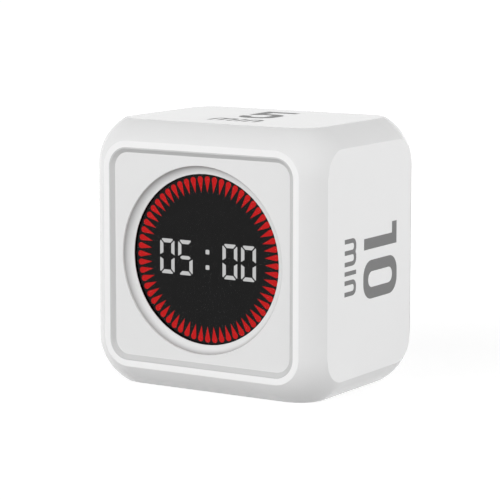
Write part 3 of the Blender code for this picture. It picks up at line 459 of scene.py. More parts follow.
class NodeWork:
    """A node tree under construction, with short calls for its nodes."""

    def __init__(self, tree: bpy.types.NodeTree) -> None:
        """Start with no nodes."""
        self.tree = tree
        tree.nodes.clear()

    def fit(self, node: bpy.types.Node, sockets: Mapping[int | str, object]) -> None:
        """Set a node's inputs, or join them to outputs.

        Args:
            node: the node.
            sockets: values or output sockets, by the input's name or number.
        """
        for name, value in sockets.items():
            if isinstance(value, Signal):
                self.tree.links.new(value, node.inputs[name])
            else:
                node.inputs[name].default_value = value

    def node(self, kind: str, sockets: Mapping[int | str, object], **settings: object) -> bpy.types.Node:
        """Add a node.

        Args:
            kind: its type, without the words that each shader node's type starts with.
            sockets: values or output sockets, by the input's name or number.
            settings: its own properties.

        Returns:
            The new node.
        """
        made = self.tree.nodes.new(f"ShaderNode{kind}")
        for name, value in settings.items():
            setattr(made, name, value)
        self.fit(made, sockets)
        return made

    def spread(self, signal: Signal, low: float, high: float, start: float = 0.3,
               end: float = 0.7) -> Signal:
        """Map a signal from one range onto another."""
        sockets = {"Value": signal, "From Min": start, "From Max": end, "To Min": low, "To Max": high}
        return self.node("MapRange", sockets).outputs["Result"]

    def largest(self, *signals: Signal) -> Signal:
        """Find the largest of some signals.

        Args:
            signals: two or more of them.

        Returns:
            The largest.
        """
        found = signals[0]
        for signal in signals[1:]:
            found = self.node("Math", {0: found, 1: signal}, operation="MAXIMUM").outputs[0]
        return found

    def seen(self) -> Signal:
        """The value that is 1 for camera, glossy and transmission rays."""
        rays = self.node("LightPath", {}).outputs
        return self.largest(rays["Is Camera Ray"], rays["Is Glossy Ray"], rays["Is Transmission Ray"])


class Surface(NodeWork):
    """A material with one Principled shader."""

    def __init__(self, name: str) -> None:
        """Make the material.

        Args:
            name: its name.
        """
        self.material = bpy.data.materials.new(name)
        self.material.use_nodes = True
        super().__init__(self.material.node_tree)
        self.principled = self.node("BsdfPrincipled", {})
        self.node("OutputMaterial", {0: self.principled.outputs[0]})
        self.coordinates = self.node("TexCoord", {}).outputs

    def noise(self, size: float, detail: float = 2.0) -> Signal:
        """Noise of a given feature size."""
        sockets = {"Vector": self.coordinates["Object"], "Scale": 1 / (size * MM), "Detail": detail}
        return self.node("TexNoise", sockets | {"Roughness": NOISE_ROUGHNESS}).outputs["Fac"]

    def tint(self, signal: Signal, dark: Triple, light: Triple) -> Signal:
        """Mix two colours by a signal."""
        return self.node("Mix", {0: signal, 6: (*dark, 1), 7: (*light, 1)}, data_type="RGBA").outputs[2]

    def paint(self, colour: Signal) -> None:
        """Make this the base colour."""
        self.colour = colour
        self.fit(self.principled, {"Base Color": colour})

    def paint_shade(self, signal: Signal, share: float) -> None:
        """Paint shade into the base colour: darken it to a share where a signal is 0, and leave it where the
        signal is 1.
        """
        sockets = {0: 1.0, 6: self.colour, 7: self.tint(signal, grey(share), grey(1.0))}
        self.paint(self.node("Mix", sockets, data_type="RGBA", blend_type="MULTIPLY").outputs[2])

    def relief(self, signal: Signal, depth: float) -> None:
        """Raise the surface by a signal, to a depth."""
        bump = self.node("Bump", {"Strength": 1.0, "Distance": depth * MM, "Height": signal})
        self.fit(self.principled, {"Normal": bump.outputs["Normal"]})


@dataclass(frozen=True)
class Finish:
    """A moulded or coated surface whose colour, gloss and relief wander a little."""

    colour: Triple
    roughness: float = 0.45
    metallic: float = 0.0
    wander: float = 0.02
    patch: float = 7.0
    grain: float = 0.3
    relief: float = 0.003
    gloss_spread: float = 0.05
    specular: float = 0.5
    coat: float = 0.0
    coat_roughness: float = 0.08
    coat_index: float = 1.2

    def shade(self, share: float) -> Triple:
        """The colour, lighter or darker by a share."""
        return tuple(min(1.0, level * (1 + share)) for level in self.colour)

    def detail(self, surface: Surface) -> None:
        """Add nothing: a plain finish only wanders."""

    def make(self, name: str) -> bpy.types.Material:
        """Build the material.

        Args:
            name: its name.

        Returns:
            The material, with what its kind of finish adds.
        """
        surface = Surface(name)
        patches, grain = surface.noise(self.patch, detail=3.0), surface.noise(self.grain)
        surface.paint(surface.tint(patches, self.shade(-self.wander), self.shade(self.wander)))
        gloss = surface.spread(grain, self.roughness - self.gloss_spread, self.roughness + self.gloss_spread)
        surface.relief(grain, self.relief)
        surface.fit(surface.principled, {
            "Roughness": gloss, "Metallic": self.metallic, "Specular IOR Level": self.specular,
            "Coat Weight": self.coat, "Coat Roughness": self.coat_roughness, "Coat IOR": self.coat_index,
        })
        self.detail(surface)
        return surface.material


@dataclass(frozen=True)
class PaintedWallShade(Finish):
    """A moulded surface with painted shade: darker on its steep wall, full colour at its foot.

    Where the wall and the foot are is given in Y.
    """

    wall: float = -22.4
    foot: float = -21.0
    painted_wall_shade: float = 0.57

    def detail(self, surface: Surface) -> None:
        """Paint shade on the steep wall."""
        axes = surface.node("SeparateXYZ", {0: surface.coordinates["Object"]}).outputs
        surface.paint_shade(surface.spread(axes["Y"], 0, 1, self.wall * MM, self.foot * MM), self.painted_wall_shade)


@dataclass(frozen=True)
class PaintedEdgeShade(Finish):
    """A moulded surface with painted shade: full colour on its planed faces, darker on its edge roundings."""

    painted_edge_shade: float = 0.88
    edge_cosines: tuple[float, float] = (0.88, 0.99)

    def detail(self, surface: Surface) -> None:
        """Paint shade on what doesn't face along an axis.

        Args:
            surface: the material under construction.
        """
        whole = surface.node("VectorMath", {0: surface.coordinates["Normal"]}, operation="ABSOLUTE")
        axes = surface.node("SeparateXYZ", {0: whole.outputs[0]}).outputs
        squareness = surface.largest(axes["X"], axes["Y"], axes["Z"])
        surface.paint_shade(surface.spread(squareness, 0, 1, *self.edge_cosines), self.painted_edge_shade)


@dataclass(frozen=True)
class SmokedWindow(Finish):
    """Tinted clear acrylic, polished on both faces."""

    index: float = 1.1
    mirror: float = 0.004

    def detail(self, surface: Surface) -> None:
        """Make it clear, with a faint reflection."""
        sockets = {"IOR": self.index, "Transmission Weight": 1.0, "Specular Tint": (*grey(self.mirror), 1)}
        surface.fit(surface.principled, sockets)


@dataclass(frozen=True)
class Lit(Finish):
    """A diffuser that glows, a little brighter where its lamp stands behind it. On the black mask and the
    dark bars the whole glow is painted reflection, and on the lit drops and bars a small even part is.
    """

    glow: Triple = (1.0, 1.0, 1.0)
    flicker: float = 0.04

    def detail(self, surface: Surface) -> None:
        """Let it glow in patches.

        Args:
            surface: the material under construction.
        """
        low, high = (tuple(level * (1 + sign * self.flicker) for level in self.glow) for sign in (-1, 1))
        glow = surface.tint(surface.noise(self.patch), low, high)
        surface.fit(surface.principled, {"Emission Color": glow, "Emission Strength": 1.0})


@dataclass(frozen=True)
class Weave(Finish):
    """A surface with straight lines in it: brushed metal, a ribbon's conductors or a board's tracks."""

    line: float = 0.5
    along: str = "X"
    contrast: float = 0.3
    waver: float = 0.6

    def detail(self, surface: Surface) -> None:
        """Paint the lines.

        Args:
            surface: the material under construction.
        """
        sockets = {"Vector": surface.coordinates["Object"], "Scale": 1 / (self.line * MM * 2 * math.pi)}
        wave = surface.node("TexWave", sockets | {"Distortion": self.waver}, bands_direction=self.along)
        dark, light = self.shade(-self.contrast), self.shade(self.contrast)
        surface.paint(surface.tint(wave.outputs["Fac"], dark, light))


@dataclass(frozen=True)
class Cells(Finish):
    """A surface made of small cells: foam or crinkled foil."""

    cell: float = 0.8
    contrast: float = 0.25
    raised: float = 0.03

    def detail(self, surface: Surface) -> None:
        """Paint the cells and raise them.

        Args:
            surface: the material under construction.
        """
        sockets = {"Vector": surface.coordinates["Object"], "Scale": 1 / (self.cell * MM)}
        distance = surface.node("TexVoronoi", sockets).outputs["Distance"]
        surface.paint(surface.tint(distance, self.shade(-self.contrast), self.shade(self.contrast)))
        surface.relief(distance, self.raised)


class Look(Enum):
    """The timer's finishes."""

    # Painted shade: the moulding's edge roundings are coloured darker than its flat faces.
    WHITE_MOULDING = PaintedEdgeShade(grey(0.93), 0.35, wander=0.006, relief=0.001, specular=0.3, coat=1.0)
    WHITE_PANEL = Finish(grey(0.8), 0.35, wander=0.006, grain=0.2, relief=0.002)
    GREY_INK = Finish(grey(0.235), 0.5, wander=0.03, patch=2.0, specular=0.12)
    # Painted shade: the step's slope is coloured darker than the moulding, for the shade that falls in the
    # step.
    WHITE_SLOPE = Finish(grey(0.6), 0.4, wander=0.006)
    # Painted shade: the cove's steep wall is coloured darker than its foot.
    WHITE_COVE = PaintedWallShade(grey(0.77), 0.2, wander=0.006, relief=0.001)
    SMOKED_WINDOW = SmokedWindow(grey(0.93), 0.06, wander=0.01, grain=4.0, relief=0.0002, gloss_spread=0.005)
    # Painted reflection: the black mask's faint glow stands in for the window's reflection.
    BLACK_MASK = Lit(grey(0.0005), 0.6, glow=(0.0164, 0.0164, 0.0166), wander=0.05, grain=2.0, relief=0.0005,
                     specular=0.0)
    RIM_BLACK = Finish(grey(0.004), 0.6, wander=0.05, relief=0.0005, specular=0.0)
    # Painted reflection: a small even part of the lights' glow stands in for the window's reflection.
    RED_LIGHT = Lit((0.004, 0.0004, 0.0004), 0.5, glow=(0.546, 0.0166, 0.0174), patch=1.2, specular=0.0)
    WHITE_LIGHT = Lit(grey(0.004), 0.5, glow=grey(0.575), patch=1.2, specular=0.0)
    # Painted reflection: the dark bars' faint glow stands in for the window's reflection.
    DARK_SEGMENT = Lit(grey(0.0006), 0.55, glow=(0.0166, 0.0166, 0.0168), wander=0.05, specular=0.0)
    BUZZER_BLACK = Finish(grey(0.02), 0.5, wander=0.05)
    BOARD_GREEN = Weave((0.02, 0.14, 0.06), 0.4, line=0.7, contrast=0.25)
    BRUSHED_STEEL = Weave((0.56, 0.56, 0.58), 0.3, 1.0, line=0.12, along="Z", contrast=0.06)
    CHIP_BLACK = Finish((0.03, 0.03, 0.035), 0.45, wander=0.1, patch=1.0)
    SOCKET_CREAM = Finish((0.7, 0.66, 0.56), 0.5)
    CONTROL_GREY = Finish((0.32, 0.32, 0.33), 0.45)
    FOAM_BLACK = Cells(grey(0.05), 0.95, cell=0.4)
    POUCH_FOIL = Cells((0.55, 0.56, 0.58), 0.35, 0.8, cell=3.0, contrast=0.06)
    RIBBON_FILM = Weave((0.75, 0.74, 0.7), 0.35, line=0.5, contrast=0.2)
    LEAD_RED = Finish((0.5, 0.01, 0.01), 0.4, patch=1.5)
    LEAD_BLACK = Finish(grey(0.012), 0.4, patch=1.5)
    CONTACT_GOLD = Finish((0.75, 0.5, 0.16), 0.25, 1.0, patch=0.5)


# Sub-assemblies


@dataclass
class Assembly:
    """Pieces that take their finishes from one palette."""

    palette: Mapping[Look, bpy.types.Material]

    def settle(self, skin: Skin, name: str, looks: Sequence[Look], body: Body, slot: Slot,
               *nodes: str) -> None:
        """Make a piece of a skin, let it ride on its body and stand for CAD nodes, and report it.

        Args:
            skin: the piece's faces.
            name: the piece's name.
            looks: its finishes, in the order that the faces number them.
            body: what the piece rides on.
            slot: not used.
            nodes: the CAD nodes that it stands for.
        """
        piece = skin.build(name, [self.palette[look] for look in looks])
        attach(piece, body.value)
        if nodes:
            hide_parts(*nodes)
        LOG.info("%s: %d faces on %s", piece.name, len(piece.data.polygons), body.value)


@dataclass(frozen=True)
class PlanedBlock:
    """The body's form: a box with one large edge radius, planed flat on its six sides."""

    half_width: float = HALF_WIDTH
    radius: float = 12.35
    cut: float = 1.65
    rounding: float = 0.22
    fan: int = 3
    arc: int = 16
    flat: int = 20
    band_sections: int = 10
    hollow_sections: int = 8

    @property
    def core(self) -> float:
        """Half the width of the box that the radius runs round."""
        return self.half_width + self.cut - self.radius

    @property
    def core_depth(self) -> float:
        """Half the depth of that box."""
        return HALF_DEPTH + self.cut - self.radius

    @property
    def leaving(self) -> float:
        """The turn at which the edge radius leaves the front or rear face."""
        return math.acos((self.radius - self.cut - self.rounding) / (self.radius - self.rounding))

    def turn_at(self, y: float, draw_in: float) -> float:
        """How far the drawn-in edge radius has turned at this depth."""
        return math.acos(min(1.0, max(0.0, abs(y) - self.core_depth) / (self.radius - draw_in)))

    def ring(self, turn: float, side: int = -1, depth: float | None = None, draw_in: float = 0.0,
             rounding: float = 0.0, tilt: float | None = None, stage: int = 0, inward: bool = False) -> Ring:
        """Work out one section of the block across Y.

        Args:
            turn: how far the edge radius has turned from the front or rear face's normal.
            side: -1 for the front half and 1 for the rear half.
            depth: the section's place in Y, where it doesn't follow from the turn.
            draw_in: how far the form is drawn in, for the inside of a wall.
            rounding: the small radius that every crease gets.
            tilt: the turn of the normals, where it isn't the section's own.
            stage: which of the crease's facets the section stands for, where the side faces go flat.
            inward: True where the surface faces the inside.

        Returns:
            The section as a ring.
        """
        radius = self.radius - draw_in - rounding
        reach, swing = radius - self.cut, radius * math.sin(turn)
        tilt = turn if tilt is None else tilt
        share = np.arange(self.fan + 1)[:, None] / self.fan

        def way(angle: float | np.ndarray, lift: float | np.ndarray) -> np.ndarray:
            """Normals at these turns round the corner, tilted from the face's normal by a lift."""
            parts = (np.sin(lift) * np.cos(angle), side * np.cos(lift), np.sin(lift) * np.sin(angle))
            return np.column_stack(np.broadcast_arrays(*parts))

        if swing > reach + SAME:
            first = math.acos(reach / swing)
            edge, cap = way(first, tilt), way(0.0, QUARTER)
            gap = max(math.acos(min(1.0, float(np.sum(edge * cap)))), SAME)
            fan = (np.sin((1 - share) * gap) * edge + np.sin(share * gap) * cap) / math.sin(gap)
        else:
            first = 0.0
            fan = way(0.0, tilt + (QUARTER - tilt) * np.minimum(share[:, 0], stage / self.fan))
        turns = np.linspace(first, QUARTER - first, self.arc + 1)
        normals = np.concatenate([fan[::-1], way(turns[1:-1], tilt), fan[:, ::-1]])
        turns = np.pad(turns, self.fan, mode="edge")
        y = side * (self.core_depth + radius * math.cos(turn)) if depth is None else depth
        across = swing * np.column_stack([np.cos(turns), 0 * turns, np.sin(turns)])
        corner = np.array([self.core, y, self.core]) + across + rounding * normals
        corners = []
        for c, s in ((1, 0), (0, 1), (-1, 0), (0, -1)):
            spin = np.array([[c, 0, s], [0, 1, 0], [-s, 0, c]])
            corners.append(Ring(corner @ spin, normals @ spin))
        whole = join(corners, self.flat)
        return Ring(whole.points + np.array([0, 0, CENTRE_Z]), -whole.normals if inward else whole.normals)

    def face_crease(self, side: int) -> list[Ring]:
        """The rounded crease round the front or rear face, from the face outwards."""
        tilts = self.leaving * np.arange(self.fan + 1) / self.fan
        return [self.ring(self.leaving, side, rounding=self.rounding, tilt=tilt) for tilt in tilts]

    def side_crease(self, side: int) -> list[Ring]:
        """The crease's facets at the straight edges of the side faces."""
        turn = QUARTER - self.leaving
        return [self.ring(turn, side, rounding=self.rounding, stage=i) for i in range(self.fan + 1)]

    def band(self, side: int, start: float, end: float) -> list[Ring]:
        """The outside's sections from one turn of the edge radius to another."""
        turns = np.linspace(start, end, self.band_sections)
        return [self.ring(turn, side, rounding=self.rounding) for turn in turns]

    def hollow(self, side: int, start: float, end: float, draw_in: float) -> list[Ring]:
        """The inside's sections from one turn of the edge radius to another."""
        turns = np.linspace(start, end, self.hollow_sections)
        return [self.ring(turn, side, draw_in=draw_in, inward=True) for turn in turns]


@dataclass(frozen=True)
class SquareStep:
    """The shallow square step that both faces share."""

    half: float = 23.73
    corner: float = 4.33
    run: float = 0.83
    lip: float = 0.12
    shelf: float = 0.3
    margin: float = 0.06

    def rings(self, block: PlanedBlock, place: Place, foot: float) -> list[Ring]:
        """Work out the step from the rim down to the panel, both edges rounded.

        Args:
            block: the form that the step is sunk in.
            place: the face.
            foot: the radius where the slope meets the panel.

        Returns:
            The rings from the rim inwards, with as many points as the block's sections.
        """
        outline = RoundRect(self.half, self.half, self.corner, arc=block.arc, fan=block.fan, flat=block.flat)
        return outline.sweep(place, soften([
            (self.shelf, 0), (0, 0, self.lip), (-self.run, -STEP_DEPTH, foot),
            (-self.run - self.margin, -STEP_DEPTH),
        ]))


@dataclass
class Housing(Assembly):
    """The white moulding: five walls, the stepped front and the coved display recess."""

    block: PlanedBlock = PlanedBlock()
    step: SquareStep = SquareStep()
    step_foot: float = 0.12
    wall: float = 2.2
    seam: float = 18.36
    recess_radius: float = 20.94
    display_radius: float = 19.0
    cove_depth: float = 1.75
    cove_land: float = 0.2
    cove_foot: float = 0.04
    lip: float = 0.1
    lip_ribs: int = 5
    margin: float = 0.5
    cove_steps: int = 14

    @property
    def land(self) -> float:
        """The height of the display's seat."""
        return -STEP_DEPTH - self.cove_depth - self.cove_land

    def cove(self, pattern: Ring) -> list[Ring]:
        """Work out the recess, from the panel down the steep wall to the display's edge.

        Args:
            pattern: the ring that it starts from. The cove's points stand in the same directions.

        Returns:
            The rings from the panel inwards.
        """
        run = self.recess_radius - self.display_radius
        corners = [(self.recess_radius + self.margin, -STEP_DEPTH),
                   (self.recess_radius, -STEP_DEPTH, self.lip)]
        for i in range(2, self.cove_steps + 1):
            turn = QUARTER * i / self.cove_steps
            fall = -STEP_DEPTH - self.cove_depth * math.sin(turn)
            foot = SMOOTH if i < self.cove_steps else self.cove_foot
            corners.append((self.recess_radius - run * (1 - math.cos(turn)), fall, foot))
        corners += [(self.display_radius, self.land), (self.display_radius + 2 * self.margin, self.land)]
        flat = pattern.points[:, [0, 2]] - np.array([0, CENTRE_Z])
        ways = flat / np.linalg.norm(flat, axis=1, keepdims=True)
        return [Ring(FRONT.at(ways * rib.reach, rib.height), FRONT.lean(ways, rib.out, rib.rise))
                for rib in soften(corners)]

    def inside(self, pattern: Ring) -> list[Ring]:
        """Work out the inner face and walls, from the display's edge back to the seam.

        Args:
            pattern: the ring that the inner face starts from.

        Returns:
            The rings, with their normals turned inwards.
        """
        front = -HALF_DEPTH - self.land
        start = self.block.turn_at(front, self.wall)
        first = self.block.ring(start, depth=front, draw_in=self.wall)
        last = self.block.ring(QUARTER, 1, depth=self.seam, draw_in=self.wall, inward=True)
        return [pattern.facing(1), first.facing(1), *self.block.hollow(-1, start, QUARTER, self.wall), last]

    def build(self) -> None:
        """Make the moulding as one closed skin, with the panel, the slope and the cove in their finishes."""
        skin = Skin(FRONT)
        low, high = self.block.leaving, QUARTER - self.block.leaving
        rear = self.block.band(1, self.block.turn_at(self.seam, self.block.rounding), QUARTER)
        front = [*self.block.face_crease(-1), *self.block.band(-1, low, high)[1:],
                 *self.block.side_crease(-1), *self.block.band(-1, high, QUARTER)[1:]]
        steps = self.step.rings(self.block, FRONT, self.step_foot)
        cove = self.cove(steps[-1])
        inner = self.inside(cove[-1])
        skin.stack([*rear, *front[::-1], steps[0]])
        skin.stack(steps, finish=2)
        skin.stack([steps[-1], *cove[:self.lip_ribs + 1]], finish=1)
        skin.stack(cove[self.lip_ribs:], finish=3)
        skin.stack([cove[-1], *inner])
        skin.stack([inner[-1].facing(1), rear[0].facing(1)])
        looks = (Look.WHITE_MOULDING, Look.WHITE_PANEL, Look.WHITE_SLOPE, Look.WHITE_COVE)
        self.settle(skin, "housing_shell", looks, Body.CASE, Slot.WHITE, "housing")


@dataclass
class RearCover(Assembly):
    """The rear tray: band edges, stepped face, tongue, and the openings for the controls."""

    block: PlanedBlock = PlanedBlock()
    step: SquareStep = SquareStep()
    step_foot: float = 0.05
    wall: float = 2.2
    seam: float = 18.58
    tongue: float = 1.2
    tongue_end: float = 15.85
    hole_lip: float = 0.12
    fine_lip: float = 0.08
    fine_below: float = 1.0
    lip_reach: float = 1.5
    screw_lip: float = 0.06
    margin: float = 0.1
    key_hole: float = 3.8
    slot: Triple = (4.0, 1.4, 0.6)
    port: Triple = (4.77, 1.88, 1.88)
    grille_radius: float = 0.55
    grille_pitch: float = 1.8
    grille_rings: int = 2
    grille_arc: int = 5
    port_arc: int = 10
    screw_head: float = 1.98
    screw_shank: float = 1.3
    top: float = -STEP_DEPTH
    back: float = PANEL_INSIDE - HALF_DEPTH

    def openings(self) -> list[RoundRect]:
        """Lay out the holes that go straight through the panel.

        Returns:
            The key holes, the slot, the port and the sound holes.
        """
        found = [circle(self.key_hole, *middle(f"{key}_button")[:2]) for key in ("minute", "start", "second")]
        found.append(RoundRect(*self.slot, *middle("slide_actuator")[:2]))
        found.append(RoundRect(*self.port, *middle("usb_port")[:2], arc=self.port_arc))
        x, z, _ = middle("buzzer")
        found.append(circle(self.grille_radius, x, z, self.grille_arc))
        for ring in range(1, self.grille_rings + 1):
            for turn in 2 * math.pi * np.arange(6 * ring) / (6 * ring):
                reach = ring * self.grille_pitch
                spot = (x + reach * math.cos(turn), z + reach * math.sin(turn))
                found.append(circle(self.grille_radius, *spot, self.grille_arc))
        return found

    def profiles(self) -> list[tuple[RoundRect, Corners]]:
        """Give every hole its profile, from the panel's face to its back.

        Returns:
            Each hole with its profile, the four screw holes last.
        """
        found = []
        for hole in self.openings():
            lip = self.hole_lip if hole.half_height > self.fine_below else self.fine_lip
            found.append((hole, [(self.lip_reach * lip, self.top), (0, self.top, lip)]))
        head, seat = self.screw_head - self.screw_shank, self.top - SCREW_SINK
        for i in range(1, 5):
            hole = circle(self.screw_shank, *middle(f"cover_screw_{i}")[:2])
            found.append((hole, [(head + self.margin, self.top), (head, self.top, self.screw_lip),
                                 (head, seat, 0), (0, seat, 0)]))
        return [(hole, [*start, (0, self.back, 0), (self.margin, self.back)]) for hole, start in found]

    def inside(self) -> list[Ring]:
        """Work out the tongue and the inside of the tray, from the seam back to the panel.

        Returns:
            The rings in order.
        """
        outer = self.wall + CLEARANCE
        inner = outer + self.tongue
        start, end = (self.block.turn_at(y, inner) for y in (self.tongue_end, PANEL_INSIDE))
        top = self.block.ring(QUARTER, 1, depth=self.seam, draw_in=outer)
        low = self.block.ring(QUARTER, 1, depth=self.tongue_end, draw_in=outer)
        hollow = self.block.hollow(1, start, end, inner)
        return [top, low, low.facing(-1), hollow[0].facing(-1), *hollow]

    def build(self) -> None:
        """Make the tray as one closed skin, with the panel and the slope in their finishes."""
        skin = Skin(REAR)
        low, high = self.block.leaving, QUARTER - self.block.leaving
        band = self.block.band(1, min(self.block.turn_at(self.seam, self.block.rounding), high), low)
        edge = Ring(band[0].points * (1, 0, 1) + (0, self.seam, 0), band[0].normals)
        steps = self.step.rings(self.block, REAR, self.step_foot)
        inner = self.inside()
        skin.stack([edge, *band[1:], *self.block.face_crease(1)[-2::-1], steps[0]])
        skin.stack(steps, finish=2)
        skin.stack([edge.facing(-1), inner[0].facing(-1)])
        skin.stack(inner)
        outer_holes, inner_holes = [steps[-1].flat()], [inner[-1].flat()]
        for hole, profile in self.profiles():
            skin.sweep(hole, profile)
            outer_holes.append(hole.outline(profile[0][0]).points)
            inner_holes.append(hole.outline(profile[-1][0]).points)
        skin.plate(outer_holes, self.top, 1, finish=1)
        skin.plate(inner_holes, self.back, -1)
        looks = (Look.WHITE_MOULDING, Look.WHITE_PANEL, Look.WHITE_SLOPE)
        self.settle(skin, "cover_shell", looks, Body.CASE, Slot.WHITE, "rear_cover")


def bar(left: float, low: float, right: float, high: float) -> np.ndarray:
    """A flat rectangle."""
    return np.array([(left, low), (right, low), (right, high), (left, high)])


def curve(x: float, z: float, radius: float, start: float, end: float, steps: int = 8) -> Loop:
    """Points of an arc about x, z, with its ends given in degrees."""
    turns = np.radians(np.linspace(start, end, steps + 1))
    return [(x + radius * math.cos(turn), z + radius * math.sin(turn)) for turn in turns]


class Mark(Enum):
    """The four faces that carry a number, with the frame that each is read in."""

    TOP = Place((0, 0, 2 * CENTRE_Z), (1, 0, 0), (0, 1, 0), (0, 0, 1))
    RIGHT = Place((HALF_WIDTH, 0, CENTRE_Z), (0, 0, -1), (0, 1, 0), (1, 0, 0))
    BOTTOM = Place((0, 0, 0), (-1, 0, 0), (0, 1, 0), (0, 0, -1))
    LEFT = Place((-HALF_WIDTH, 0, CENTRE_Z), (0, 0, 1), (0, 1, 0), (-1, 0, 0))


@dataclass
class Numerals(Assembly):
    """The printed minutes: a large number with a small word under it on each of four faces."""

    foot: float = -3.2
    top: float = 12.0
    width: float = 8.64
    side: float = 2.55
    end: float = 2.17
    corner: float = 3.5
    inner_corner: float = 1.7
    flag: float = 2.13
    stem: float = 2.5
    one_top: float = 11.77
    one_foot: float = -3.0
    bowl: float = 6.5
    shoulder: float = 2.9
    shoulder_lean: float = 0.5
    five_inset: float = 0.1
    five_wider: float = 0.4
    five_end: float = 4.3
    five_arm: float = 0.5
    three_end: float = 4.2
    waist_start: float = 2.2
    waist_corner: float = 1.9
    crook_corner: float = 0.9
    word_foot: float = -11.48
    word_top: float = -6.48
    stroke: float = 1.0
    arch: float = 1.5
    inner_arch: float = 0.6
    notch: float = 0.7
    notch_depth: float = 0.3
    pitch: float = 2.5
    m_left: float = -5.61
    i_left: float = 1.48
    i_right: float = 2.43
    n_left: float = 3.48
    ink: float = 0.012
    sunk: float = 0.03

    def zero(self, x: float) -> list[Loop]:
        """Draw a nought.

        Args:
            x: its left edge.

        Returns:
            Its edge and its hole.
        """
        wide, tall = self.width / 2, (self.top - self.foot) / 2
        hub = (x + wide, self.foot + tall)
        outer = RoundRect(wide, tall, self.corner, *hub)
        inner = RoundRect(wide - self.side, tall - self.end, self.inner_corner, *hub)
        return [outer.outline().points, inner.outline().points]

    def one(self, x: float) -> list[Loop]:
        """Draw a one with a flat flag.

        Args:
            x: its left edge.

        Returns:
            Its edge.
        """
        top, foot, left = self.one_top, self.one_foot, x + self.side
        return [[(x, top - self.flag), (left, top - self.flag), (left, foot), (left + self.stem, foot),
                 (left + self.stem, top), (x, top)]]

    def five(self, x: float) -> list[Loop]:
        """Draw a five with a square shoulder and a round bowl.

        Args:
            x: its left edge.

        Returns:
            Its edge.
        """
        top, foot, bowl, big, small = self.top, self.foot, self.bowl, self.corner, self.inner_corner
        right, back, ledge = x + self.width + self.five_wider, x + self.five_inset, bowl - self.shoulder
        hook, inner, tip = x + self.side + small, right - self.side - small, foot + self.five_end
        arm = right - self.five_arm
        return [[
            (arm, top), (back, top), (back, ledge), (back + self.side, ledge),
            (back + self.side + self.shoulder_lean, bowl - self.end),
            *curve(inner, bowl - self.end - small, small, 90, 0),
            *curve(inner, foot + self.end + small, small, 0, -90),
            *curve(hook, foot + self.end + small, small, -90, -180),
            (x + self.side, tip), (x, tip),
            *curve(x + big, foot + big, big, 180, 270), *curve(right - big, foot + big, big, 270, 360),
            *curve(right - big, bowl - big, big, 0, 90),
            (back + self.side, bowl), (back + self.side, top - self.end), (arm, top - self.end),
        ]]

    def three(self, x: float) -> list[Loop]:
        """Draw a three with two equal round bowls.

        Args:
            x: its left edge.

        Returns:
            Its edge.
        """
        right, big, small, nick = x + self.width, self.corner, self.inner_corner, self.waist_corner
        top, foot, waist, half = self.top, self.foot, (self.foot + self.top) / 2, self.end / 2
        left, inner = x + self.side + small, right - self.side - small
        dip, start, end = self.crook_corner, x + self.waist_start, self.three_end
        crook = right - self.side - dip
        return [[
            (x, top - end),
            *curve(x + big, top - big, big, 180, 90), *curve(right - big, top - big, big, 90, 0),
            *curve(right - nick, waist + nick, nick, 0, -60), *curve(right - nick, waist - nick, nick, 60, 0),
            *curve(right - big, foot + big, big, 0, -90), *curve(x + big, foot + big, big, -90, -180),
            (x, foot + end), (x + self.side, foot + end),
            *curve(left, foot + self.end + small, small, 180, 270),
            *curve(inner, foot + self.end + small, small, 270, 360),
            *curve(crook, waist - half - dip, dip, 0, 90), (start, waist - half), (start, waist + half),
            *curve(crook, waist + half + dip, dip, -90, 0),
            *curve(inner, top - self.end - small, small, 0, 90),
            *curve(left, top - self.end - small, small, 90, 180), (x + self.side, top - end),
        ]]

    def arches(self, x: float, count: int) -> list[Loop]:
        """Draw joined round arches: one makes an n and two make an m.

        Args:
            x: the left edge.
            count: how many arches there are.

        Returns:
            The letter's edge.
        """
        low, high, big, small = self.word_foot, self.word_top, self.arch, self.inner_arch
        right, under = x + count * self.pitch + self.stroke, high - self.stroke - small
        line = [(x, low), *curve(x + big, high - big, big, 180, 90, 6)]
        for i in range(1, count):
            mid = x + i * self.pitch + self.stroke / 2
            line += [(mid - self.notch, high), (mid, high - self.notch_depth), (mid + self.notch, high)]
        line += [*curve(right - big, high - big, big, 90, 0, 6), (right, low)]
        for i in reversed(range(count)):
            start, end = x + i * self.pitch + self.stroke, x + (i + 1) * self.pitch
            line += [(end, low), *curve(end - small, under, small, 0, 90, 4),
                     *curve(start + small, under, small, 90, 180, 4), (start, low)]
        return [line]

    def build(self) -> None:
        """Make one inked piece for each face."""
        numbers = {
            Mark.TOP: [self.five(-4.0)],
            Mark.RIGHT: [self.one(-7.3), self.zero(0.25)],
            Mark.BOTTOM: [self.one(-8.6), self.five(-1.0)],
            Mark.LEFT: [self.three(-9.9), self.zero(1.25)],
        }
        stem = bar(self.i_left, self.word_foot, self.i_right, self.word_top)
        word = [self.arches(self.m_left, 2), [stem], self.arches(self.n_left, 1)]
        for mark, number in numbers.items():
            skin = Skin(mark.value)
            for glyph in number + word:
                skin.prism([np.array(loop) for loop in glyph], -self.sunk, self.ink)
            self.settle(skin, f"number_{mark.name.lower()}", [Look.GREY_INK], Body.CASE, Slot.GREY)


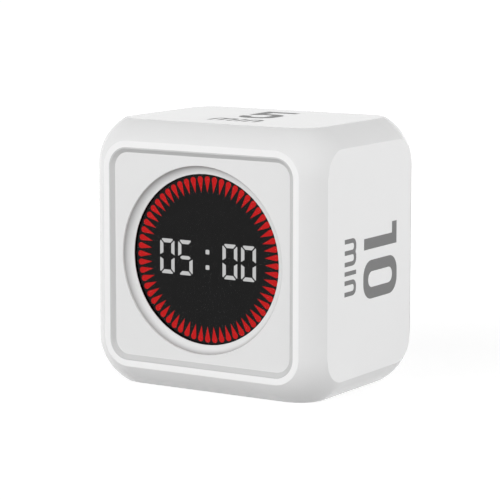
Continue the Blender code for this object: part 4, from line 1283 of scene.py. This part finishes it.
@dataclass
class Display(Assembly):
    """The round display: smoked window, black mask, sixty red drops and four lit digits."""

    radius: float = 20.5
    rim: float = 18.85
    rim_gap: float = 0.01
    split: float = 14.2
    window_front: float = 2.95
    window_back: float = 3.4
    window_edge: float = 0.05
    mask_front: float = 3.42
    mask_back: float = 6.05
    base_back: float = 6.95
    cell_gap: float = 0.02
    sunk: float = 0.03
    drop_outer: float = 18.54
    drop_tip: float = 14.85
    drop_bulb: float = 0.7
    graphics_middle: float = -0.1
    drops: int = 60
    drop_points: int = 15
    digit_width: float = 3.89
    digit_height: float = 7.87
    digit_pitch: float = 4.82
    pair_offset: float = 8.27
    segment: float = 0.91
    segment_gap: float = 0.28
    segment_cut: float = 0.26
    waist: float = 0.28
    waist_slope: float = 0.5
    upper_end: Corners = ((1.6, 0.0), (1.15, 0.2), (1.0, 1.0))
    side_end: Corners = ((0.0, 1.2), (0.6, 0.6))
    nick_in: float = 0.05
    nick_up: float = 0.06
    middle_inset: float = 0.02
    tip_in: float = 0.08
    tip_up: float = 0.2
    shoulder_in: float = 0.55
    shoulder_up: float = 0.45
    colon: float = 1.03
    colon_corner: float = 0.2
    colon_offset: float = 1.72
    edge_arc: int = 48
    base_arc: int = 32
    shown: str = "0500"

    SEGMENTS: ClassVar[dict[str, str]] = {"0": "abcdef", "5": "acdfg"}

    def drop(self, index: int, grow: float = 0.0) -> np.ndarray:
        """Draw one drop, its round end outside.

        Args:
            index: which of the drops, from twelve o'clock.
            grow: how far the drop is grown, negative to shrink it.

        Returns:
            Its flat outline.
        """
        hub, bulb = self.drop_outer - self.drop_bulb, self.drop_bulb + grow
        reach = (hub - self.drop_tip) * bulb / self.drop_bulb
        tangent = math.pi - math.acos(bulb / reach)
        turns = np.linspace(-tangent, tangent, self.drop_points)
        round_end = np.column_stack([hub + bulb * np.cos(turns), bulb * np.sin(turns)])
        line = np.concatenate([[(hub - reach, 0.0)], round_end])
        angle = QUARTER + 2 * math.pi * index / self.drops
        c, s = math.cos(angle), math.sin(angle)
        return line @ np.array([[c, s], [-s, c]]) + np.array([0, self.graphics_middle])

    def segments(self, grow: float) -> dict[str, np.ndarray]:
        """Draw the seven bars of one digit about its centre.

        The outer bars' rounded ends are given in shares of their cut. The middle bar's tips and shoulders
        are partly given in shares of its width.

        Args:
            grow: how far each bar is grown, negative to shrink it.

        Returns:
            Their flat outlines by their usual letters.
        """
        width, cut, waist = self.segment + 2 * grow, self.segment_cut, self.waist - grow
        nick = (self.segment_gap / 2 - grow) * math.sqrt(2)
        side, top = self.digit_width / 2 + grow, self.digit_height / 2 + grow
        end, high = side - nick, top - nick
        upper = [(end - x * cut, top - z * cut) for x, z in self.upper_end] + [(end - width, top - width)]
        upper += [(-x, z) for x, z in reversed(upper)]
        right = [(side - x * cut, high - z * cut) for x, z in self.side_end]
        right += [(side - width, high - width), (side - width, waist + self.waist_slope),
                  (side - self.nick_in, waist), (side, waist + self.nick_up)]
        point = side - 2 * self.waist - self.middle_inset
        crown = [(point - self.tip_in, self.tip_up * width),
                 (point - self.shoulder_in * width, self.shoulder_up * width)]
        crown += [(-x, z) for x, z in reversed(crown)]
        bars = {
            "a": upper, "b": right, "c": [(x, -z) for x, z in right], "d": [(-x, -z) for x, z in upper],
            "e": [(-x, -z) for x, z in right], "f": [(-x, z) for x, z in right],
            "g": [(point, 0), *crown, (-point, 0), *((-x, -z) for x, z in crown)],
        }
        return {name: np.array(line, float) for name, line in bars.items()}

    def bars(self, lit: bool, grow: float = 0.0) -> list[np.ndarray]:
        """Draw the digits' lit or dark bars, the colon with the lit ones.

        Args:
            lit: which of the two.
            grow: how far each bar is grown, negative to shrink it.

        Returns:
            Their flat outlines.
        """
        half = self.digit_pitch / 2
        places = [pair * self.pair_offset + step * half for pair in (-1, 1) for step in (-1, 1)]
        found = [line + np.array([place, self.graphics_middle])
                 for place, digit in zip(places, self.shown)
                 for name, line in self.segments(grow).items() if (name in self.SEGMENTS[digit]) == lit]
        for z in (self.colon_offset, -self.colon_offset) if lit else ():
            half = self.colon / 2
            dot = RoundRect(half, half, self.colon_corner, 0, z + self.graphics_middle, arc=4)
            found.append(dot.outline(grow).points)
        return found

    def window(self) -> None:
        """Make the smoked disc."""
        skin = Skin(FRONT)
        back, front, edge = -self.window_back, -self.window_front, self.window_edge
        disc = [(0, back), (self.radius, back, edge), (self.radius, front, edge), (0, front)]
        skin.sweep(circle(0, arc=self.edge_arc), disc)
        self.settle(skin, "smoked_lens", [Look.SMOKED_WINDOW], Body.CASE, Slot.SMOKED, "display_window")

    def mask(self) -> None:
        """Make the black plate with a cell for each drop and bar, and the unlit rim that holds it."""
        skin = Skin(FRONT)
        radii = (self.radius, self.rim + self.rim_gap, self.rim)
        edge, rim, plate = (circle(radius, arc=self.edge_arc).outline().points for radius in radii)
        cells = [self.drop(i) for i in range(self.drops)] + self.bars(True) + self.bars(False)
        skin.prism([plate, *cells], -self.mask_back, -self.mask_front)
        skin.prism([edge, rim], -self.mask_back, -self.mask_front, finish=1)
        looks = (Look.BLACK_MASK, Look.RIM_BLACK)
        self.settle(skin, "display_mask", looks, Body.CASE, Slot.BLACK, "light_mask")

    def lights(self, name: str, look: Look, slot: Slot, lines: list[np.ndarray], base: Sequence[float],
               *nodes: str) -> None:
        """Make the pips that fill one kind of cell, standing on their diffuser plate.

        Args:
            name: the piece's name.
            look: its finish.
            slot: the record's slot.
            lines: the pips' flat outlines.
            base: the plate's outer and inner radius, as far as it has them.
            nodes: the CAD node that it stands for.
        """
        skin = Skin(FRONT)
        foot, front = -self.mask_back - CLEARANCE, -self.mask_front - self.sunk
        for line in lines:
            skin.prism([line], foot, front)
        if base:
            rings = [circle(radius, arc=self.base_arc).outline().points for radius in base]
            skin.prism(rings, -self.base_back, foot)
        self.settle(skin, name, [look], Body.CASE, slot, *nodes)

    def build(self) -> None:
        """Make the window, the mask and the lights."""
        self.window()
        self.mask()
        drops = [self.drop(i, -self.cell_gap) for i in range(self.drops)]
        lit, dark = self.bars(True, -self.cell_gap), self.bars(False, -self.cell_gap)
        ring = (self.radius, self.split + CLEARANCE)
        disc = (self.split,)
        self.lights("drop_lights", Look.RED_LIGHT, Slot.RED, drops, ring, "ring_diffuser")
        self.lights("digit_lights", Look.WHITE_LIGHT, Slot.MILKY, lit, disc, "digit_diffuser")
        self.lights("dark_bars", Look.DARK_SEGMENT, Slot.MILKY, dark, ())


@dataclass
class Buttons(Assembly):
    """The three keys on the rear: a dished cap with a raised edge and a printed sign."""

    radius: float = 3.5
    stand: float = 0.4
    edge: float = 0.3
    dish: float = 0.15
    dish_edge: float = 0.55
    dish_foot: float = 0.8
    dish_rounding: float = 0.2
    flange: float = 0.9
    flange_thickness: float = 1.0
    rounding: float = 0.1
    stem: float = 1.5
    sign_radius: float = 1.25
    sign_line: float = 0.3
    sign_arc: int = 10
    hand: float = 0.12
    long_hand: float = 0.85
    short_hand: float = 0.62
    crown_half: float = 0.35
    crown_low: float = 1.4
    crown_top: float = 1.65
    arrow_length: float = 1.45
    arrow_half: float = 0.95
    pause_half: float = 0.9
    pause_width: float = 0.36
    pause_places: tuple[float, float] = (-0.8, -1.45)
    ink: float = 0.02
    sunk: float = 0.03

    def signs(self) -> dict[Body, list[list[np.ndarray]]]:
        """Draw what is printed on each cap, read from behind.

        Returns:
            The flat outlines of each key's marks.
        """
        edge, hand = circle(self.sign_radius, arc=self.sign_arc), self.hand
        ring = [edge.outline(-inset).points for inset in (0, self.sign_line)]
        long_hand = [bar(-hand, 0, hand, self.long_hand)]
        short_hand = [bar(-self.short_hand, -hand, -hand, hand)]
        crown = [bar(-self.crown_half, self.crown_low, self.crown_half, self.crown_top)]
        back, half = self.arrow_length, self.arrow_half
        arrow = [np.array([(back, -half), (back, half), (0, 0)])]
        pause = [[bar(x, -self.pause_half, x + self.pause_width, self.pause_half)] for x in self.pause_places]
        return {Body.MINUTE: [ring, long_hand, short_hand], Body.START: [arrow, *pause],
                Body.SECOND: [ring, long_hand, crown]}

    def build(self) -> None:
        """Make each cap in one skin, its sign in grey ink."""
        looks = (Look.WHITE_MOULDING, Look.GREY_INK)
        for body, marks in self.signs().items():
            key = body.value.removesuffix("_key")
            x, z, _ = middle(f"{key}_button")
            low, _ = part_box(f"{key}_button")
            foot, top = low.y / MM - HALF_DEPTH, self.stand - STEP_DEPTH
            wide, under, floor = self.radius + self.flange, SHELF - self.flange_thickness, top - self.dish
            skin = Skin(REAR)
            skin.sweep(circle(0, x, z), [
                (0, foot), (self.stem, foot, self.rounding), (self.stem, under, 0),
                (wide, under, self.rounding), (wide, SHELF, self.rounding), (self.radius, SHELF, 0),
                (self.radius, top, self.edge), (self.radius - self.dish_edge, top, self.dish_rounding),
                (self.radius - self.dish_foot, floor, self.dish_rounding), (0, floor),
            ])
            for outlines in marks:
                moved = [line + np.array([x, z]) for line in outlines]
                skin.prism(moved, floor - self.sunk, floor + self.ink, finish=1)
            self.settle(skin, f"{key}_cap", looks, body, Slot.WHITE, f"{key}_button")


@dataclass
class VolumeKnob(Assembly):
    """The slide knob: a small ribbed block in its slot, on the plate that hides the slot."""

    half_width: float = 1.7
    half_height: float = 1.1
    corner: float = 0.6
    stand: float = 0.5
    edge: float = 0.1
    ribs: tuple[tuple[float, float], ...] = ((-1.2, 0.2), (-0.4, 0.25), (0.4, 0.25), (1.2, 0.2))
    rib_depth: float = 0.3
    rib_inset: float = 0.12
    rib_edge: float = 0.08
    rib_corner: float = 0.1
    rib_sunk: float = 0.02
    plate: float = 0.8
    tail: float = 1.4
    stem: Triple = (1.1, 1.1, 0.3)

    def build(self) -> None:
        """Make the knob, its plate and its stem."""
        x, z, _ = middle("slide_actuator")
        low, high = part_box("slide_knob")
        top, edge = self.stand - STEP_DEPTH, self.edge
        valley = top - self.rib_depth
        skin = Skin(REAR)
        body = RoundRect(self.half_width, self.half_height, self.corner, x, z)
        skin.sweep(body, [(0, SHELF), (0, valley, edge), (-edge, valley)])
        skin.plate([body.outline(-edge).points], valley)
        tall = self.half_height - self.rib_inset
        for across, half in self.ribs:
            ridge = RoundRect(half, tall, self.rib_corner, x + across, z, arc=3)
            skin.sweep(ridge, [(0, valley - self.rib_sunk), (0, top, self.rib_edge), (-edge, top)])
            skin.plate([ridge.outline(-edge).points], top)
        half = ((high.x - low.x) / 2 / MM, (high.z - low.z) / 2 / MM)
        skin.prism([RoundRect(*half, self.corner, x, z).outline().points], SHELF - self.plate, SHELF)
        foot = low.y / MM - HALF_DEPTH + self.tail
        skin.prism([RoundRect(*self.stem, x, z).outline().points], foot, SHELF - self.plate)
        self.settle(skin, "volume_knob", [Look.CONTROL_GREY], Body.VOLUME, Slot.GREY, "slide_knob")


@dataclass
class Screws(Assembly):
    """The four cover screws, each with a domed head and a cross recess."""

    head: float = 1.85
    head_arc: int = 10
    rim: float = 0.55
    rounding: float = 0.3
    dome: float = 0.7
    crown: float = 0.78
    below: float = 0.02
    arm: float = 0.95
    arm_width: float = 0.42
    recess: float = 0.75
    shank: float = 0.95
    point: float = 0.4
    taper: float = 0.6

    def cross(self, x: float, z: float) -> np.ndarray:
        """Draw the cross recess.

        Args:
            x: its middle across.
            z: its middle up.

        Returns:
            Its flat outline.
        """
        a, b = self.arm, self.arm_width / 2
        line = [(a, b), (b, b), (b, a), (-b, a), (-b, b), (-a, b)]
        return np.array(line + [(-x, -z) for x, z in line]) + np.array([x, z])

    def build(self) -> None:
        """Make the heads with their shanks."""
        seat, top = CLEARANCE - STEP_DEPTH - SCREW_SINK, -STEP_DEPTH - self.below
        neck = self.shank - self.head
        for i in range(1, 5):
            name = f"cover_screw_{i}"
            x, z, _ = middle(name)
            low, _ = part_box(name)
            foot = low.y / MM - HALF_DEPTH
            skin = Skin(REAR)
            edge, cross = circle(self.head, x, z, self.head_arc), self.cross(x, z)
            skin.sweep(edge, [
                (neck - self.point, foot), (neck, foot + self.taper, 0), (neck, seat, 0), (0, seat, 0),
                (0, top - self.rim, self.rounding), (-self.dome, top, self.rounding), (-self.crown, top),
            ])
            skin.plate([edge.outline(neck - self.point).points], foot, -1)
            skin.plate([edge.outline(-self.crown).points, cross], top)
            skin.wall(cross, top - self.recess, top)
            skin.plate([cross], top - self.recess)
            self.settle(skin, f"cross_screw_{i}", [Look.BRUSHED_STEEL], Body.CASE, Slot.STEEL, name)


@dataclass
class Socket(Assembly):
    """What shows in the charging socket beyond its CAD shell: the gold contacts on its tongue."""

    contacts: int = 12
    pitch: float = 0.5
    width: float = 0.26
    length: float = 2.4
    lift: float = 0.03
    sunk: float = 0.02
    half_tongue: float = 0.35
    tongue_depth: float = 1.15

    def build(self) -> None:
        """Make both rows of contacts in one piece."""
        x, z, _ = middle("usb_port")
        _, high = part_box("usb_port")
        mouth = high.y / MM - self.tongue_depth
        skin = Skin(REAR)
        for side in (-1, 1):
            origin = (x, mouth, z + CENTRE_Z + side * self.half_tongue)
            skin.place = Place(origin, (1, 0, 0), (0, -1, 0), (0, 0, side))
            for i in range(self.contacts):
                left = (i - (self.contacts - 1) / 2) * self.pitch - self.width / 2
                skin.prism([bar(left, 0, left + self.width, self.length)], -self.sunk, self.lift)
        self.settle(skin, "socket_contacts", [Look.CONTACT_GOLD], Body.CASE, Slot.STEEL)


@dataclass
class Internals(Assembly):
    """The CAD nodes whose shapes are kept, each with a better finish and softened edges."""

    softened: float = 0.06

    NODES: ClassVar[dict[Look, tuple[str, ...]]] = {
        Look.BOARD_GREEN: ("display_board", "main_board"),
        Look.CHIP_BLACK: (
            "display_driver", "microcontroller", "motion_sensor", "charger_chip", "slide_actuator",
            *(f"{key}_button_switch" for key in ("minute", "start", "second")),
        ),
        Look.CONTROL_GREY: tuple(f"{key}_button_plunger" for key in ("minute", "start", "second")),
        Look.SOCKET_CREAM: ("display_ribbon_socket", "main_ribbon_socket", "battery_socket"),
        Look.RIBBON_FILM: ("ribbon_cable",),
        Look.POUCH_FOIL: ("battery",),
        Look.FOAM_BLACK: ("battery_pad", "buzzer_gasket"),
        Look.LEAD_RED: ("battery_lead_red",),
        Look.LEAD_BLACK: ("battery_lead_black",),
        Look.BUZZER_BLACK: ("buzzer",),
        Look.BRUSHED_STEEL: (
            "usb_port", "slide_switch",
            *(f"{kind}_screw_{i}" for kind in ("display", "board") for i in range(1, 5)),
        ),
    }

    def dress(self, name: str, look: Look) -> None:
        """Dress one kept node.

        Args:
            name: the node.
            look: its finish.
        """
        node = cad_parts[name]
        for slot in node.material_slots:
            slot.material = self.palette[look]
        bevel = node.modifiers.new("softened_edges", "BEVEL")
        bevel.width = self.softened * MM
        bevel.segments = 2
        bevel.limit_method = "ANGLE"
        LOG.info("%s: dressed in %s", name, look.name.lower())

    def build(self) -> None:
        """Dress the kept nodes."""
        for look, names in self.NODES.items():
            for name in names:
                self.dress(name, look)


# Studio


def towards(azimuth: float, elevation: float) -> Vector:
    """The direction from the timer at these degrees round from the front and up from the floor."""
    a, e = math.radians(azimuth), math.radians(elevation)
    return Vector((math.sin(a) * math.cos(e), -math.cos(a) * math.cos(e), math.sin(e)))


@dataclass(frozen=True)
class Lamp:
    """A soft square lamp that looks at the timer. Its distance and size are metres."""

    name: str
    azimuth: float
    elevation: float
    size: float
    power: float
    distance: float = 2.0

    def build(self) -> None:
        """Hang the lamp."""
        back = towards(self.azimuth, self.elevation)
        light = bpy.data.lights.new(self.name, "AREA")
        light.shape = "SQUARE"
        light.size = self.size
        light.energy = self.power
        lamp = show(self.name, light)
        lamp.visible_glossy = False
        lamp.location = Vector((0, 0, CENTRE_Z * MM)) + back * self.distance
        lamp.rotation_mode = "QUATERNION"
        lamp.rotation_quaternion = back.to_track_quat("Z", "Y")


@dataclass
class Studio:
    """Pale floor, white surroundings, soft lamps and the photograph's camera. Floor sizes are metres."""

    lamps: tuple[Lamp, ...] = (
        Lamp("front_lamp", -30, 20, 1.6, 21.8),
        Lamp("middle_lamp", 0, 20, 1.6, 9.5),
        Lamp("corner_lamp", 60, 20, 1.6, 13.6),
        Lamp("right_lamp", 90, 8, 0.55, 6.6),
        Lamp("rear_lamp", 130, 20, 1.6, 12.0),
        Lamp("left_lamp", -90, 20, 1.6, 7.0),
        Lamp("back_lamp", 185, 6, 0.4, 16.0),
    )
    surroundings: float = 0.1
    floor_half: float = 6.0
    floor_drop: float = 0.00005
    floor_colour: float = 0.5
    glow_near: float = 0.72
    glow_far: float = 0.9
    near: float = 0.05
    far: float = 0.6
    camera_azimuth: float = 32.2237
    camera_elevation: float = 8.5579
    camera_roll: float = 0.03
    camera_place: Triple = (276.57, -441.08, 107.92)
    lens: float = 166.68
    sensor: float = 36.0

    def floor(self) -> None:
        """Lay a wide pale floor that keeps the shadow and looks white to the camera."""
        half = self.floor_half
        mesh = bpy.data.meshes.new("floor")
        square = [(-half, -half, 0), (half, -half, 0), (half, half, 0), (-half, half, 0)]
        mesh.from_pydata(square, [], [(0, 1, 2, 3)])
        material = bpy.data.materials.new("pale_floor")
        material.use_nodes = True
        work = NodeWork(material.node_tree)
        away = work.node("VectorMath", {0: work.node("TexCoord", {}).outputs["Object"]}, operation="LENGTH")
        rise = work.spread(away.outputs["Value"], self.glow_near, self.glow_far, self.near, self.far)
        level = work.node("Math", {0: work.seen(), 1: rise}, operation="MULTIPLY").outputs[0]
        diffuse = work.node("BsdfDiffuse", {"Color": (*grey(self.floor_colour), 1)})
        glow = work.node("Emission", {"Strength": level})
        both = work.node("AddShader", {0: diffuse.outputs[0], 1: glow.outputs[0]})
        work.node("OutputMaterial", {0: both.outputs[0]})
        mesh.materials.append(material)
        floor = show("floor", mesh)
        floor.location.z = -self.floor_drop

    def world(self) -> None:
        """Light the timer evenly from all round, with surroundings that look white."""
        world = bpy.data.worlds.new("surroundings")
        bpy.context.scene.world = world
        world.use_nodes = True
        work = NodeWork(world.node_tree)
        level = work.spread(work.seen(), self.surroundings, 1.0, 0.0, 1.0)
        background = work.node("Background", {"Color": (1, 1, 1, 1), "Strength": level})
        work.node("OutputWorld", {0: background.outputs[0]})

    def camera(self) -> None:
        """Set up the photograph's view."""
        back = towards(self.camera_azimuth, self.camera_elevation)
        right = Vector((0, 0, 1)).cross(back).normalized()
        roll = Matrix.Rotation(math.radians(self.camera_roll), 3, "Z")
        turn = Matrix((right, back.cross(right), back)).transposed() @ roll
        data = bpy.data.cameras.new("camera")
        data.sensor_fit = "HORIZONTAL"
        data.sensor_width = self.sensor
        data.lens = self.lens
        data.clip_start = 0.01
        data.clip_end = 50
        camera = show("camera", data)
        camera.matrix_world = Matrix.Translation(Vector(self.camera_place) * MM) @ turn.to_4x4()
        bpy.context.scene.camera = camera

    def build(self) -> None:
        """Set up the whole studio."""
        bpy.context.scene.view_settings.view_transform = "Standard"
        self.floor()
        self.world()
        self.camera()
        for lamp in self.lamps:
            lamp.build()
        LOG.info("studio: %d lamps", len(self.lamps))


def main() -> None:
    """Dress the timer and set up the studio."""
    logging.basicConfig(level=logging.INFO, format="%(name)s: %(message)s")
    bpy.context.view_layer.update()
    palette = {look: look.value.make(look.name.lower()) for look in Look}
    for assembly in (Housing, RearCover, Display, Numerals, Buttons, VolumeKnob, Screws, Socket, Internals):
        assembly(palette).build()
    Studio().build()


if __name__ == "__main__":
    main()
